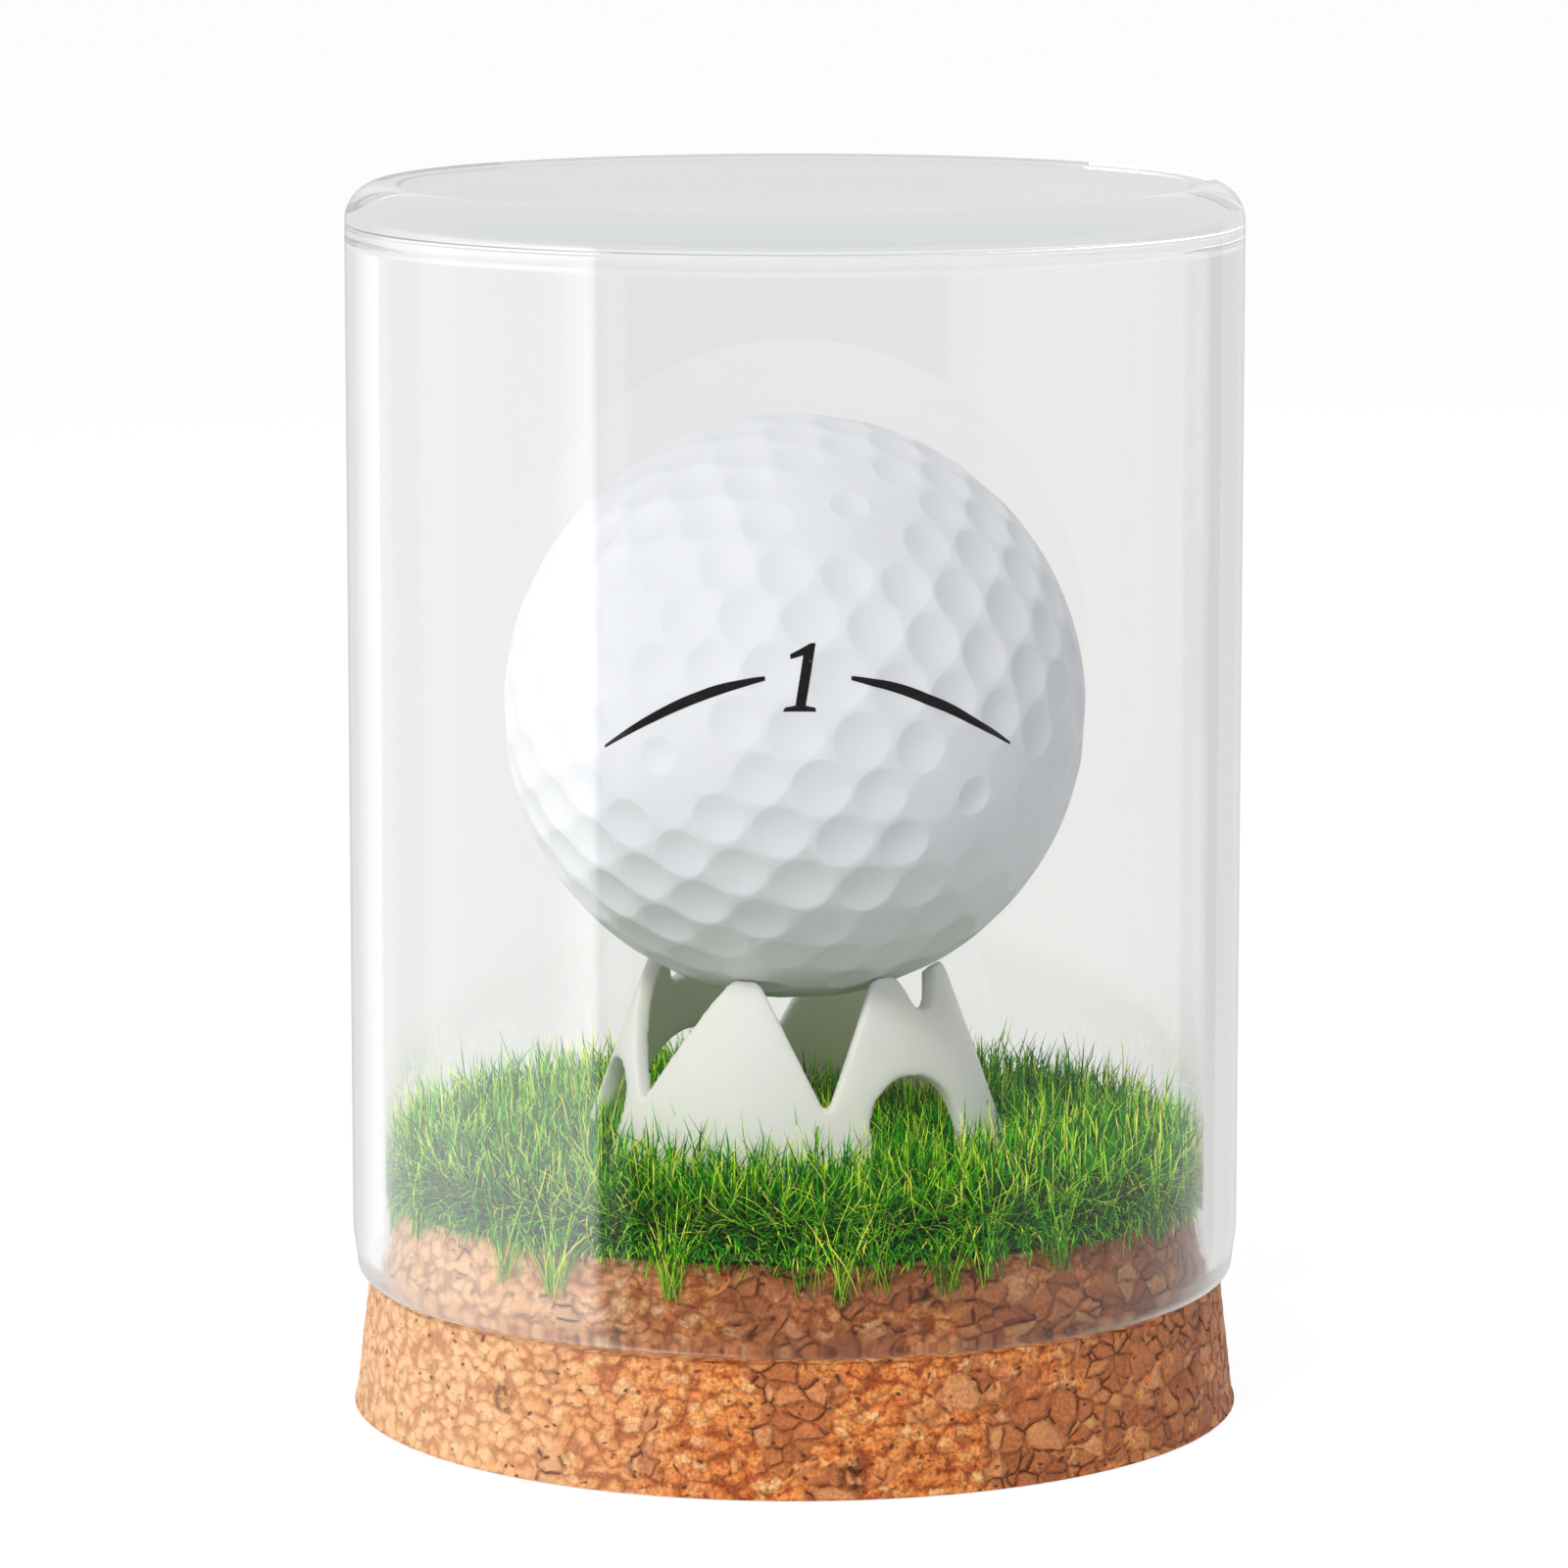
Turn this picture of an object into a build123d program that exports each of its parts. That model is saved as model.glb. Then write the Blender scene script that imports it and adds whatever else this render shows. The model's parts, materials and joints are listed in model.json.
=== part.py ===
from build123d import *
import math
import os

# Golf ball display case: a glass dome that lifts off a stepped cork base, with turf, a crown
# stand and a golf ball inside. Millimetres, +Z up. The origin is the centre of the cork's
# underside, the front faces -Y, and a bearing is measured from the front towards +X.

# Golf ball
BALL_D = 42.67
BALL_COVER = 1.8

# Glass dome
GLASS_D = 65.4
GLASS_WALL = 2.4
GLASS_TOP = 2.8
GLASS_HEIGHT = 80.3
GLASS_SHOULDER_R = 2.8
GLASS_CEILING_R = 1.8
LIP_TAPER_HEIGHT = 3.6
LIP_DRAW_IN = 0.35
LIP_LAND = 0.3

# Cork base
FLANGE_HEIGHT = 10.0
FLANGE_INSET = 1.05
FLANGE_FLARE = 1.15
FLANGE_FOOT_R = 1.0
FLANGE_RIM_R = 0.35
PLUG_HEIGHT = 6.6
PLUG_LAND = 2.0
PLUG_TAPER = 1.0
PLUG_TOP_R = 0.4
PLUG_CLEARANCE = 0.05

# Turf, from the cork upwards
TURF_GLUE = 0.3
TURF_LATEX = 0.7
TURF_CLOTH = 0.5
TURF_INSET = 0.1
THATCH_HEIGHT = 1.5
PILE_HEIGHT = 4.3
PILE_EDGE_R = 0.9
FRINGE_DROP = 2.0
GRASS_CLEARANCE = 0.3
GRASS_TO_STAND = 0.25
GRASS_TO_CORK = 0.02

# Crown stand
STAND_HEIGHT = 15.0
STAND_FOOT_D = 32.6
STAND_TIP_D = 21.6
STAND_WALL = 1.3
SEAT_GAP = 0.15
FOOT_GLUE = 0.3
PEAK_HALF_WIDTH = 0.95
PEAK_ROUND_R = 1.2
V_NOTCH_DEPTH = 8.9
V_NOTCH_FLOOR = 0.5
V_NOTCH_ROUND_R = 0.35
U_NOTCH_DEPTH = 2.7
U_NOTCH_FLOOR = 2.0
U_NOTCH_ROUND_R = 1.2
ARCH_WIDTH = 8.4
ARCH_HEIGHT = 8.0
# Bearings on one half of the stand; the other half repeats them after a half turn.
STAND_HALVES = 2
PEAK_BEARINGS = (-19.5, 38.0, 77.0)
NOTCH_BEARINGS = (9.5, 54.0, 128.0)
NOTCH_STYLES = ("V", "U", "V")
ARCH_BEARINGS = (38.5, 104.0)

# Levels and radii that follow from the sizes above
glass_r = GLASS_D / 2
bore_r = glass_r - GLASS_WALL
dome_seat_z = FLANGE_HEIGHT
dome_top_z = dome_seat_z + GLASS_HEIGHT
ceiling_z = dome_top_z - GLASS_TOP
lip_round_r = (GLASS_WALL - LIP_DRAW_IN - LIP_LAND) / 2

flange_top_r = glass_r - FLANGE_INSET
flange_foot_r = flange_top_r + FLANGE_FLARE
plug_r = bore_r - PLUG_CLEARANCE
plug_land_z = dome_seat_z + PLUG_LAND
plug_top_z = dome_seat_z + PLUG_HEIGHT
plug_top_r = plug_r - PLUG_TAPER

turf_r = plug_top_r - PLUG_TOP_R - TURF_INSET
latex_z = plug_top_z + TURF_GLUE
cloth_z = latex_z + TURF_LATEX
pile_z = cloth_z + TURF_CLOTH
thatch_top_z = pile_z + THATCH_HEIGHT
pile_top_z = pile_z + PILE_HEIGHT
pile_r = bore_r - GRASS_CLEARANCE
fringe_foot_z = plug_top_z - FRINGE_DROP

stand_foot_z = pile_z + FOOT_GLUE
stand_tip_z = stand_foot_z + STAND_HEIGHT
stand_foot_r = STAND_FOOT_D / 2
stand_tip_r = STAND_TIP_D / 2
stand_slope = (stand_foot_r - stand_tip_r) / STAND_HEIGHT
half_turn = 360 / STAND_HALVES

ball_r = BALL_D / 2
seat_r = ball_r + SEAT_GAP
ball_z = stand_tip_z + math.sqrt(seat_r**2 - stand_tip_r**2)


def turned(points, radii):
    """Turn a closed (radius, height) outline about Z, with one rounding radius per corner."""
    outline = FilletPolyline(*points, radius=radii, close=True)
    return revolve(Plane.XZ * make_face(outline), Axis.Z)


def disc(radius, low_z, thickness):
    """A flat round layer that lies on low_z."""
    return Pos(0, 0, low_z) * Cylinder(radius, thickness, align=(Align.CENTER, Align.CENTER, Align.MIN))


def facing(bearing):
    """A plane through the axis that looks outwards at this bearing, with its Y upwards."""
    turn = math.radians(bearing)
    outwards = (math.sin(turn), -math.cos(turn), 0)
    sideways = (math.cos(turn), math.sin(turn), 0)
    return Plane(origin=(0, 0, 0), x_dir=sideways, z_dir=outwards)


def plug_radius(z):
    """The plug's radius at height z, on its land or on its taper."""
    rise = max(0.0, z - plug_land_z)
    return plug_r - PLUG_TAPER * rise / (PLUG_HEIGHT - PLUG_LAND)


def stand_outer_radius(z):
    """The radius of the stand's outer cone at height z."""
    return stand_foot_r - stand_slope * (z - stand_foot_z)


def stand_inner_radius(z):
    """The radius of the stand's inner cone at height z."""
    return stand_outer_radius(z) - STAND_WALL


def make_glass_dome():
    """One blown cup, upside down: flat top, straight wall and a fire-polished lip."""
    outline = [
        (0, dome_top_z),
        (glass_r, dome_top_z),
        (glass_r, dome_seat_z + LIP_TAPER_HEIGHT),
        (glass_r - LIP_DRAW_IN, dome_seat_z),
        (bore_r, dome_seat_z),
        (bore_r, ceiling_z),
        (0, ceiling_z),
    ]
    radii = [0, GLASS_SHOULDER_R, 2 * LIP_TAPER_HEIGHT, lip_round_r, lip_round_r, GLASS_CEILING_R, 0]
    return turned(outline, radii)


def make_cork_base():
    """Flange that the dome's lip stands on, with the plug that centres the dome."""
    outline = [
        (0, 0),
        (flange_foot_r, 0),
        (flange_top_r, FLANGE_HEIGHT),
        (plug_r, FLANGE_HEIGHT),
        (plug_r, plug_land_z),
        (plug_top_r, plug_top_z),
        (0, plug_top_z),
    ]
    radii = [0, FLANGE_FOOT_R, FLANGE_RIM_R, 0, 0, PLUG_TOP_R, 0]
    return turned(outline, radii)


def make_grass_ring(low_z, high_z, outer_r, edge_r):
    """Soft ring of turf between the stand's outside and outer_r."""
    outline = [
        (stand_outer_radius(low_z) + GRASS_TO_STAND, low_z),
        (outer_r, low_z),
        (outer_r, high_z),
        (stand_outer_radius(high_z) + GRASS_TO_STAND, high_z),
    ]
    return turned(outline, [0, 0, edge_r, 0])


def make_grass_patch(low_z, high_z):
    """Soft round patch of turf inside the stand."""
    outline = [
        (0, low_z),
        (stand_inner_radius(low_z) - GRASS_TO_STAND, low_z),
        (stand_inner_radius(high_z) - GRASS_TO_STAND, high_z),
        (0, high_z),
    ]
    return turned(outline, [0, 0, 0, 0])


def make_grass_fringe():
    """Soft skirt of the outermost blades, which hang down over the plug's edge."""
    outline = [
        (plug_radius(fringe_foot_z) + GRASS_TO_CORK, fringe_foot_z),
        (pile_r, fringe_foot_z),
        (pile_r, thatch_top_z),
        (turf_r + GRASS_TO_CORK, thatch_top_z),
        (turf_r + GRASS_TO_CORK, plug_top_z + GRASS_TO_CORK),
        (plug_top_r + GRASS_TO_CORK, plug_top_z + GRASS_TO_CORK),
    ]
    return turned(outline, [0, 0, 0, 0, 0, 0])


def tip_offset(bearing, peak_bearing):
    """How far a peak lies to the side of a radial plane, at the radius of the tips."""
    return stand_tip_r * math.sin(math.radians(peak_bearing - bearing))


def notch_cutter(bearing, peaks, style):
    """Prism that cuts one gap and rounds the flanks of the two peaks beside it."""
    depth, floor, round_r = {
        "V": (V_NOTCH_DEPTH, V_NOTCH_FLOOR, V_NOTCH_ROUND_R),
        "U": (U_NOTCH_DEPTH, U_NOTCH_FLOOR, U_NOTCH_ROUND_R),
    }[style]
    left, right = (tip_offset(bearing, peak) for peak in peaks)
    bottom_z = stand_tip_z - depth
    above_z = stand_tip_z + PEAK_ROUND_R
    outline = [
        (left - PEAK_ROUND_R, stand_tip_z),
        (left + PEAK_HALF_WIDTH, stand_tip_z),
        (-floor / 2, bottom_z),
        (floor / 2, bottom_z),
        (right - PEAK_HALF_WIDTH, stand_tip_z),
        (right + PEAK_ROUND_R, stand_tip_z),
        (right + PEAK_ROUND_R, above_z),
        (left - PEAK_ROUND_R, above_z),
    ]
    radii = [0, PEAK_ROUND_R, round_r, round_r, PEAK_ROUND_R, 0, 0, 0]
    face = make_face(FilletPolyline(*outline, radius=radii, close=True))
    return extrude(facing(bearing) * face, STAND_FOOT_D)


def arch_cutter(bearing):
    """Prism that opens a round-topped arch from the foot upwards."""
    half = ARCH_WIDTH / 2
    low_z = stand_foot_z - FOOT_GLUE
    spring_z = stand_foot_z + ARCH_HEIGHT - half
    sides = Polyline((-half, spring_z), (-half, low_z), (half, low_z), (half, spring_z))
    crown = ThreePointArc((half, spring_z), (0, spring_z + half), (-half, spring_z))
    return extrude(facing(bearing) * make_face(sides + crown), STAND_FOOT_D)


def notch_cutters():
    """One cutter for each gap between neighbouring peaks, all the way round."""
    ends = PEAK_BEARINGS[1:] + (PEAK_BEARINGS[0] + half_turn,)
    return [
        Rot(0, 0, half * half_turn) * notch_cutter(bearing, peaks, style)
        for bearing, peaks, style in zip(NOTCH_BEARINGS, zip(PEAK_BEARINGS, ends), NOTCH_STYLES)
        for half in range(STAND_HALVES)
    ]


def arch_cutters():
    """One cutter for each arch, all the way round."""
    return [
        arch_cutter(bearing + half * half_turn)
        for bearing in ARCH_BEARINGS
        for half in range(STAND_HALVES)
    ]


def make_ball_stand():
    """One moulded cone with peaks, notches and arches, dished at the tips to the ball."""
    outline = [
        (stand_foot_r, stand_foot_z),
        (stand_tip_r, stand_tip_z),
        (stand_tip_r - STAND_WALL, stand_tip_z),
        (stand_foot_r - STAND_WALL, stand_foot_z),
    ]
    shell = turned(outline, [0, 0, 0, 0])
    dish = Pos(0, 0, ball_z) * Sphere(seat_r)
    return shell - notch_cutters() - arch_cutters() - dish


def make_foot_glue():
    """The glue under each foot, as wide as the foot."""
    outline = [
        (stand_foot_r, pile_z),
        (stand_foot_r, stand_foot_z),
        (stand_foot_r - STAND_WALL, stand_foot_z),
        (stand_foot_r - STAND_WALL, pile_z),
    ]
    return turned(outline, [0, 0, 0, 0]) - arch_cutters()


def make_ball_cover():
    """The ball's hard cover, a closed shell round the core."""
    return Pos(0, 0, ball_z) * (Sphere(ball_r) - Sphere(ball_r - BALL_COVER))


def make_ball_core():
    """The ball's rubber core."""
    return Pos(0, 0, ball_z) * Sphere(ball_r - BALL_COVER)


def build_parts():
    """Every piece by its node name."""
    return {
        "cork_base": make_cork_base(),
        "turf_glue": disc(turf_r, plug_top_z, TURF_GLUE),
        "turf_latex_backing": disc(turf_r, latex_z, TURF_LATEX),
        "turf_cloth_backing": disc(turf_r, cloth_z, TURF_CLOTH),
        "turf_thatch_ring": make_grass_ring(pile_z, thatch_top_z, turf_r, 0),
        "turf_thatch_patch": make_grass_patch(pile_z, thatch_top_z),
        "grass_ring": make_grass_ring(thatch_top_z, pile_top_z, pile_r, PILE_EDGE_R),
        "grass_patch": make_grass_patch(thatch_top_z, pile_top_z),
        "grass_fringe": make_grass_fringe(),
        "stand_foot_glue": make_foot_glue(),
        "ball_stand": make_ball_stand(),
        "ball_cover": make_ball_cover(),
        "ball_core": make_ball_core(),
        "glass_dome": make_glass_dome(),
    }


os.makedirs("parts", exist_ok=True)
for node, shape in build_parts().items():
    export_step(shape, f"parts/{node}.step")
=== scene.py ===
"""Looks of the golf ball display case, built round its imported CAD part.

Metres, +Z up, front towards -Y. A bearing is measured from the front towards +X, in degrees.
"""

import json
import logging
import math
from collections.abc import Callable, Iterator, Sequence
from contextlib import contextmanager
from dataclasses import dataclass
from enum import Enum

import bpy
import numpy as np
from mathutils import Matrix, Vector
from mathutils.kdtree import KDTree

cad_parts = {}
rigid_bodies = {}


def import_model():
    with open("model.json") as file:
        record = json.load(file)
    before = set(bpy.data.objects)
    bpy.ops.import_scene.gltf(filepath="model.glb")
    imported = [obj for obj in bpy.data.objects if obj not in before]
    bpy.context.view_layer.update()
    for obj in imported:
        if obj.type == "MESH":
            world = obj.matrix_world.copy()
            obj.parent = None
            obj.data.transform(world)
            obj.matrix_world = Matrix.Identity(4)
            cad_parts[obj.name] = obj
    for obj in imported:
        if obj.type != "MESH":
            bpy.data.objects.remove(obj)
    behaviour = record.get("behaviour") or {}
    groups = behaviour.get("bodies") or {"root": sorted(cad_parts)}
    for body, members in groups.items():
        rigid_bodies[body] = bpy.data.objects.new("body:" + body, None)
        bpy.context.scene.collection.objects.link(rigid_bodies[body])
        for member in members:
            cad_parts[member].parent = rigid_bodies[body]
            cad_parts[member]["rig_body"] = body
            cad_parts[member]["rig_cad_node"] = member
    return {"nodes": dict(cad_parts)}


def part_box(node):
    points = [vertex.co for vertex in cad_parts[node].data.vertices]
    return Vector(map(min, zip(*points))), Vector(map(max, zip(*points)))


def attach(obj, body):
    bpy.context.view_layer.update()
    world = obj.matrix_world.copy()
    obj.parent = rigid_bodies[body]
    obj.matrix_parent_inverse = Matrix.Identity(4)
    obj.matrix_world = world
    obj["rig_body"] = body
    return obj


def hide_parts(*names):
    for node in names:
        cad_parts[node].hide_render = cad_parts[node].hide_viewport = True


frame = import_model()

MM = 0.001
WELD = 1e-7
TOUCHING = 1e-9
BAKE_MAP = "OFBake"

log = logging.getLogger("display_case")

Setting = object
Link = object
Colour = tuple[float, float, float]
Stops = tuple[tuple[float, Colour], ...]
Band = tuple[float, float, float]
Face = tuple[int, ...]


class Pick(Enum):
    """What edit mode selects."""

    VERTICES = "VERT"
    EDGES = "EDGE"
    FACES = "FACE"


class Body(Enum):
    """The CAD bodies that pieces ride on."""

    BASE = "base"
    DOME = "dome"
    BALL = "ball"


# ---------------------------------------------------------------- modelling


class Bench:
    """Steps of hand modelling that the sub-assemblies share."""

    @staticmethod
    def clear() -> None:
        """Deselects everything."""
        bpy.ops.object.select_all(action="DESELECT")

    @staticmethod
    def take(work: bpy.types.Object) -> None:
        """Makes one object the selected, active one.

        Args:
            work: The object.
        """
        Bench.clear()
        work.select_set(True)
        bpy.context.view_layer.objects.active = work

    @staticmethod
    def named(name: str) -> bpy.types.Object:
        """Names the primitive that was just added.

        Args:
            name: The piece's name.

        Returns:
            The new object.
        """
        work = bpy.context.object
        work.name = work.data.name = name
        return work

    @staticmethod
    def places(work: bpy.types.Object) -> np.ndarray:
        """Reads where a mesh's vertices are.

        Args:
            work: A mesh object.

        Returns:
            One row of x, y and z for each vertex.
        """
        flat = np.empty(len(work.data.vertices) * 3)
        work.data.vertices.foreach_get("co", flat)
        return flat.reshape(-1, 3)

    @staticmethod
    def ends(work: bpy.types.Object) -> np.ndarray:
        """Reads which two vertices each of a mesh's edges joins.

        Args:
            work: A mesh object.

        Returns:
            One row of two numbers for each edge.
        """
        return np.array([edge.vertices[:] for edge in work.data.edges])

    @staticmethod
    def put(work: bpy.types.Object, places: np.ndarray) -> None:
        """Moves a mesh's vertices.

        Args:
            work: A mesh object.
            places: One row of x, y and z for each vertex.
        """
        work.data.vertices.foreach_set("co", np.ascontiguousarray(places).ravel())
        work.data.update()

    @staticmethod
    @contextmanager
    def editing(
        work: bpy.types.Object, chosen: np.ndarray | None = None, pick: Pick = Pick.VERTICES
    ) -> Iterator[None]:
        """Opens a mesh in edit mode with some of it selected, and closes it again.

        Args:
            work: A mesh object.
            chosen: Which vertices, edges or faces are selected, or None for all.
            pick: What chosen counts.

        Yields:
            Nothing; the mesh is open while the block runs.
        """
        Bench.take(work)
        mesh = work.data
        kinds = {Pick.VERTICES: mesh.vertices, Pick.EDGES: mesh.edges, Pick.FACES: mesh.polygons}
        for kind, items in kinds.items():
            mine = kind is pick and chosen is not None
            items.foreach_set("select", chosen if mine else np.zeros(len(items), bool))
        bpy.context.tool_settings.mesh_select_mode = tuple(kind is pick for kind in Pick)
        bpy.ops.object.mode_set(mode="EDIT")
        if chosen is None:
            bpy.ops.mesh.select_all(action="SELECT")
        yield
        bpy.ops.object.mode_set(mode="OBJECT")

    @staticmethod
    def weld(work: bpy.types.Object, reach: float = WELD) -> None:
        """Merges vertices that lie together and turns the faces outwards.

        Args:
            work: A mesh object.
            reach: How near merged vertices are.
        """
        with Bench.editing(work):
            bpy.ops.mesh.remove_doubles(threshold=reach)
            bpy.ops.mesh.normals_make_consistent(inside=False)

    @staticmethod
    def smooth(work: bpy.types.Object) -> None:
        """Shades the whole piece smooth."""
        Bench.take(work)
        bpy.ops.object.shade_smooth()

    @staticmethod
    def settle(work: bpy.types.Object) -> None:
        """Applies the object's place, turn and scale to its mesh."""
        Bench.take(work)
        bpy.ops.object.transform_apply(location=True, rotation=True, scale=True)

    @staticmethod
    def modify(work: bpy.types.Object, kind: str, **settings: Setting) -> None:
        """Adds a modifier and applies it.

        Args:
            work: A mesh object.
            kind: The modifier's type.
            **settings: The modifier's properties.
        """
        Bench.take(work)
        modifier = work.modifiers.new(kind.lower(), kind)
        for name, value in settings.items():
            setattr(modifier, name, value)
        bpy.ops.object.modifier_apply(modifier=modifier.name)

    @staticmethod
    def dress(work: bpy.types.Object, material: bpy.types.Material) -> None:
        """Gives the whole piece one material."""
        work.data.materials.clear()
        work.data.materials.append(material)

    @staticmethod
    def fit(work: bpy.types.Object, body: Body, slot: str, *nodes: str) -> None:
        """Hands a finished piece to the frame.

        Args:
            work: The piece.
            body: The body it moves with.
            slot: The record's material slot; not used.
            *nodes: The CAD nodes that it stands for.
        """
        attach(work, body.value)
        if nodes:
            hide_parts(*nodes)
        log.info("%s: %d faces on %s", work.name, len(work.data.polygons), body.value)


@dataclass(frozen=True)
class Corner:
    """One corner of a turned outline.

    Attributes:
        radius: Distance from the axis.
        height: Height over the table.
        rounding: Length that the rounding takes from each side.
        steps: Edges along the rounding.
        cuts: Cuts on the side that runs from here to the next corner.
    """

    radius: float
    height: float
    rounding: float = 0.0
    steps: int = 1
    cuts: int = 0


@dataclass(frozen=True)
class Lathe:
    """Turns closed outlines about the upright axis.

    Attributes:
        segments: Faces round the axis.
    """

    segments: int

    def turn(self, name: str, corners: Sequence[Corner]) -> bpy.types.Object:
        """Models a solid of revolution from its outline.

        Args:
            name: The piece's name.
            corners: The outline, in order, from the axis round to the axis.

        Returns:
            The closed solid, with its faces outwards.
        """
        Bench.clear()
        bpy.ops.mesh.primitive_circle_add(vertices=len(corners), fill_type="NOTHING")
        work = Bench.named(name)
        Bench.put(work, np.array([(c.radius, 0.0, c.height) for c in corners]))
        for here, corner in enumerate(corners):
            if corner.cuts:
                self._cut(work, here, (here + 1) % len(corners), corner.cuts)
        self._open_axis(work)
        for corner in corners:
            if corner.rounding:
                self._round(work, corner)
        with Bench.editing(work):
            bpy.ops.mesh.spin(
                steps=self.segments, angle=math.tau, center=(0, 0, 0), axis=(0, 0, 1)
            )
        Bench.weld(work)
        Bench.smooth(work)
        return work

    def _cut(self, work: bpy.types.Object, here: int, there: int, cuts: int) -> None:
        """Divides the side between two corners evenly."""
        side = np.all(np.sort(Bench.ends(work), axis=1) == sorted((here, there)), axis=1)
        with Bench.editing(work, side, Pick.EDGES):
            bpy.ops.mesh.subdivide(number_cuts=cuts)

    def _open_axis(self, work: bpy.types.Object) -> None:
        """Removes the side that runs along the axis.

        Args:
            work: The outline.
        """
        radius = Bench.places(work)[:, 0]
        on_axis = (radius[Bench.ends(work)] < TOUCHING).all(axis=1)
        with Bench.editing(work, on_axis, Pick.EDGES):
            bpy.ops.mesh.delete(type="EDGE")

    def _round(self, work: bpy.types.Object, corner: Corner) -> None:
        """Rounds one corner of the outline."""
        apart = Bench.places(work) - (corner.radius, 0.0, corner.height)
        with Bench.editing(work, np.linalg.norm(apart, axis=1) < WELD):
            bpy.ops.mesh.bevel(
                offset=corner.rounding,
                offset_type="OFFSET",
                segments=corner.steps,
                profile=0.5,
                affect="VERTICES",
                clamp_overlap=False,
            )


# ---------------------------------------------------------------- nodes


class Wire:
    """A node's output, with operators that add Math nodes."""

    def __init__(self, board: "Board", socket: bpy.types.NodeSocket) -> None:
        """Wraps a socket.

        Args:
            board: The board that the node is on.
            socket: The output socket.
        """
        self.board = board
        self.socket = socket

    def __add__(self, other: Link) -> "Wire":
        """self + other."""
        return self.board.maths("ADD", self, other)

    __radd__ = __add__

    def __sub__(self, other: Link) -> "Wire":
        """self - other."""
        return self.board.maths("SUBTRACT", self, other)

    def __rsub__(self, other: Link) -> "Wire":
        """other - self."""
        return self.board.maths("SUBTRACT", other, self)

    def __mul__(self, other: Link) -> "Wire":
        """self * other."""
        return self.board.maths("MULTIPLY", self, other)

    __rmul__ = __mul__

    def __truediv__(self, other: Link) -> "Wire":
        """self / other."""
        return self.board.maths("DIVIDE", self, other)

    def __gt__(self, other: Link) -> "Wire":
        """1 where self > other, else 0."""
        return self.board.maths("GREATER_THAN", self, other)

    def least(self, other: Link) -> "Wire":
        """The smaller of self and other."""
        return self.board.maths("MINIMUM", self, other)

    def most(self, other: Link) -> "Wire":
        """The larger of self and other."""
        return self.board.maths("MAXIMUM", self, other)

    def between(self, low: float, high: float, soft: bool = True) -> "Wire":
        """Goes from 0 at low to 1 at high, and stays there outside.

        Args:
            low: Where the result is 0.
            high: Where the result is 1.
            soft: Whether it eases in and out.

        Returns:
            The result.
        """
        kind = "SMOOTHSTEP" if soft else "LINEAR"
        return self.board.add(
            "ShaderNodeMapRange",
            {"interpolation_type": kind, "clamp": True},
            {"Value": self, "From Min": low, "From Max": high},
        )


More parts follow.
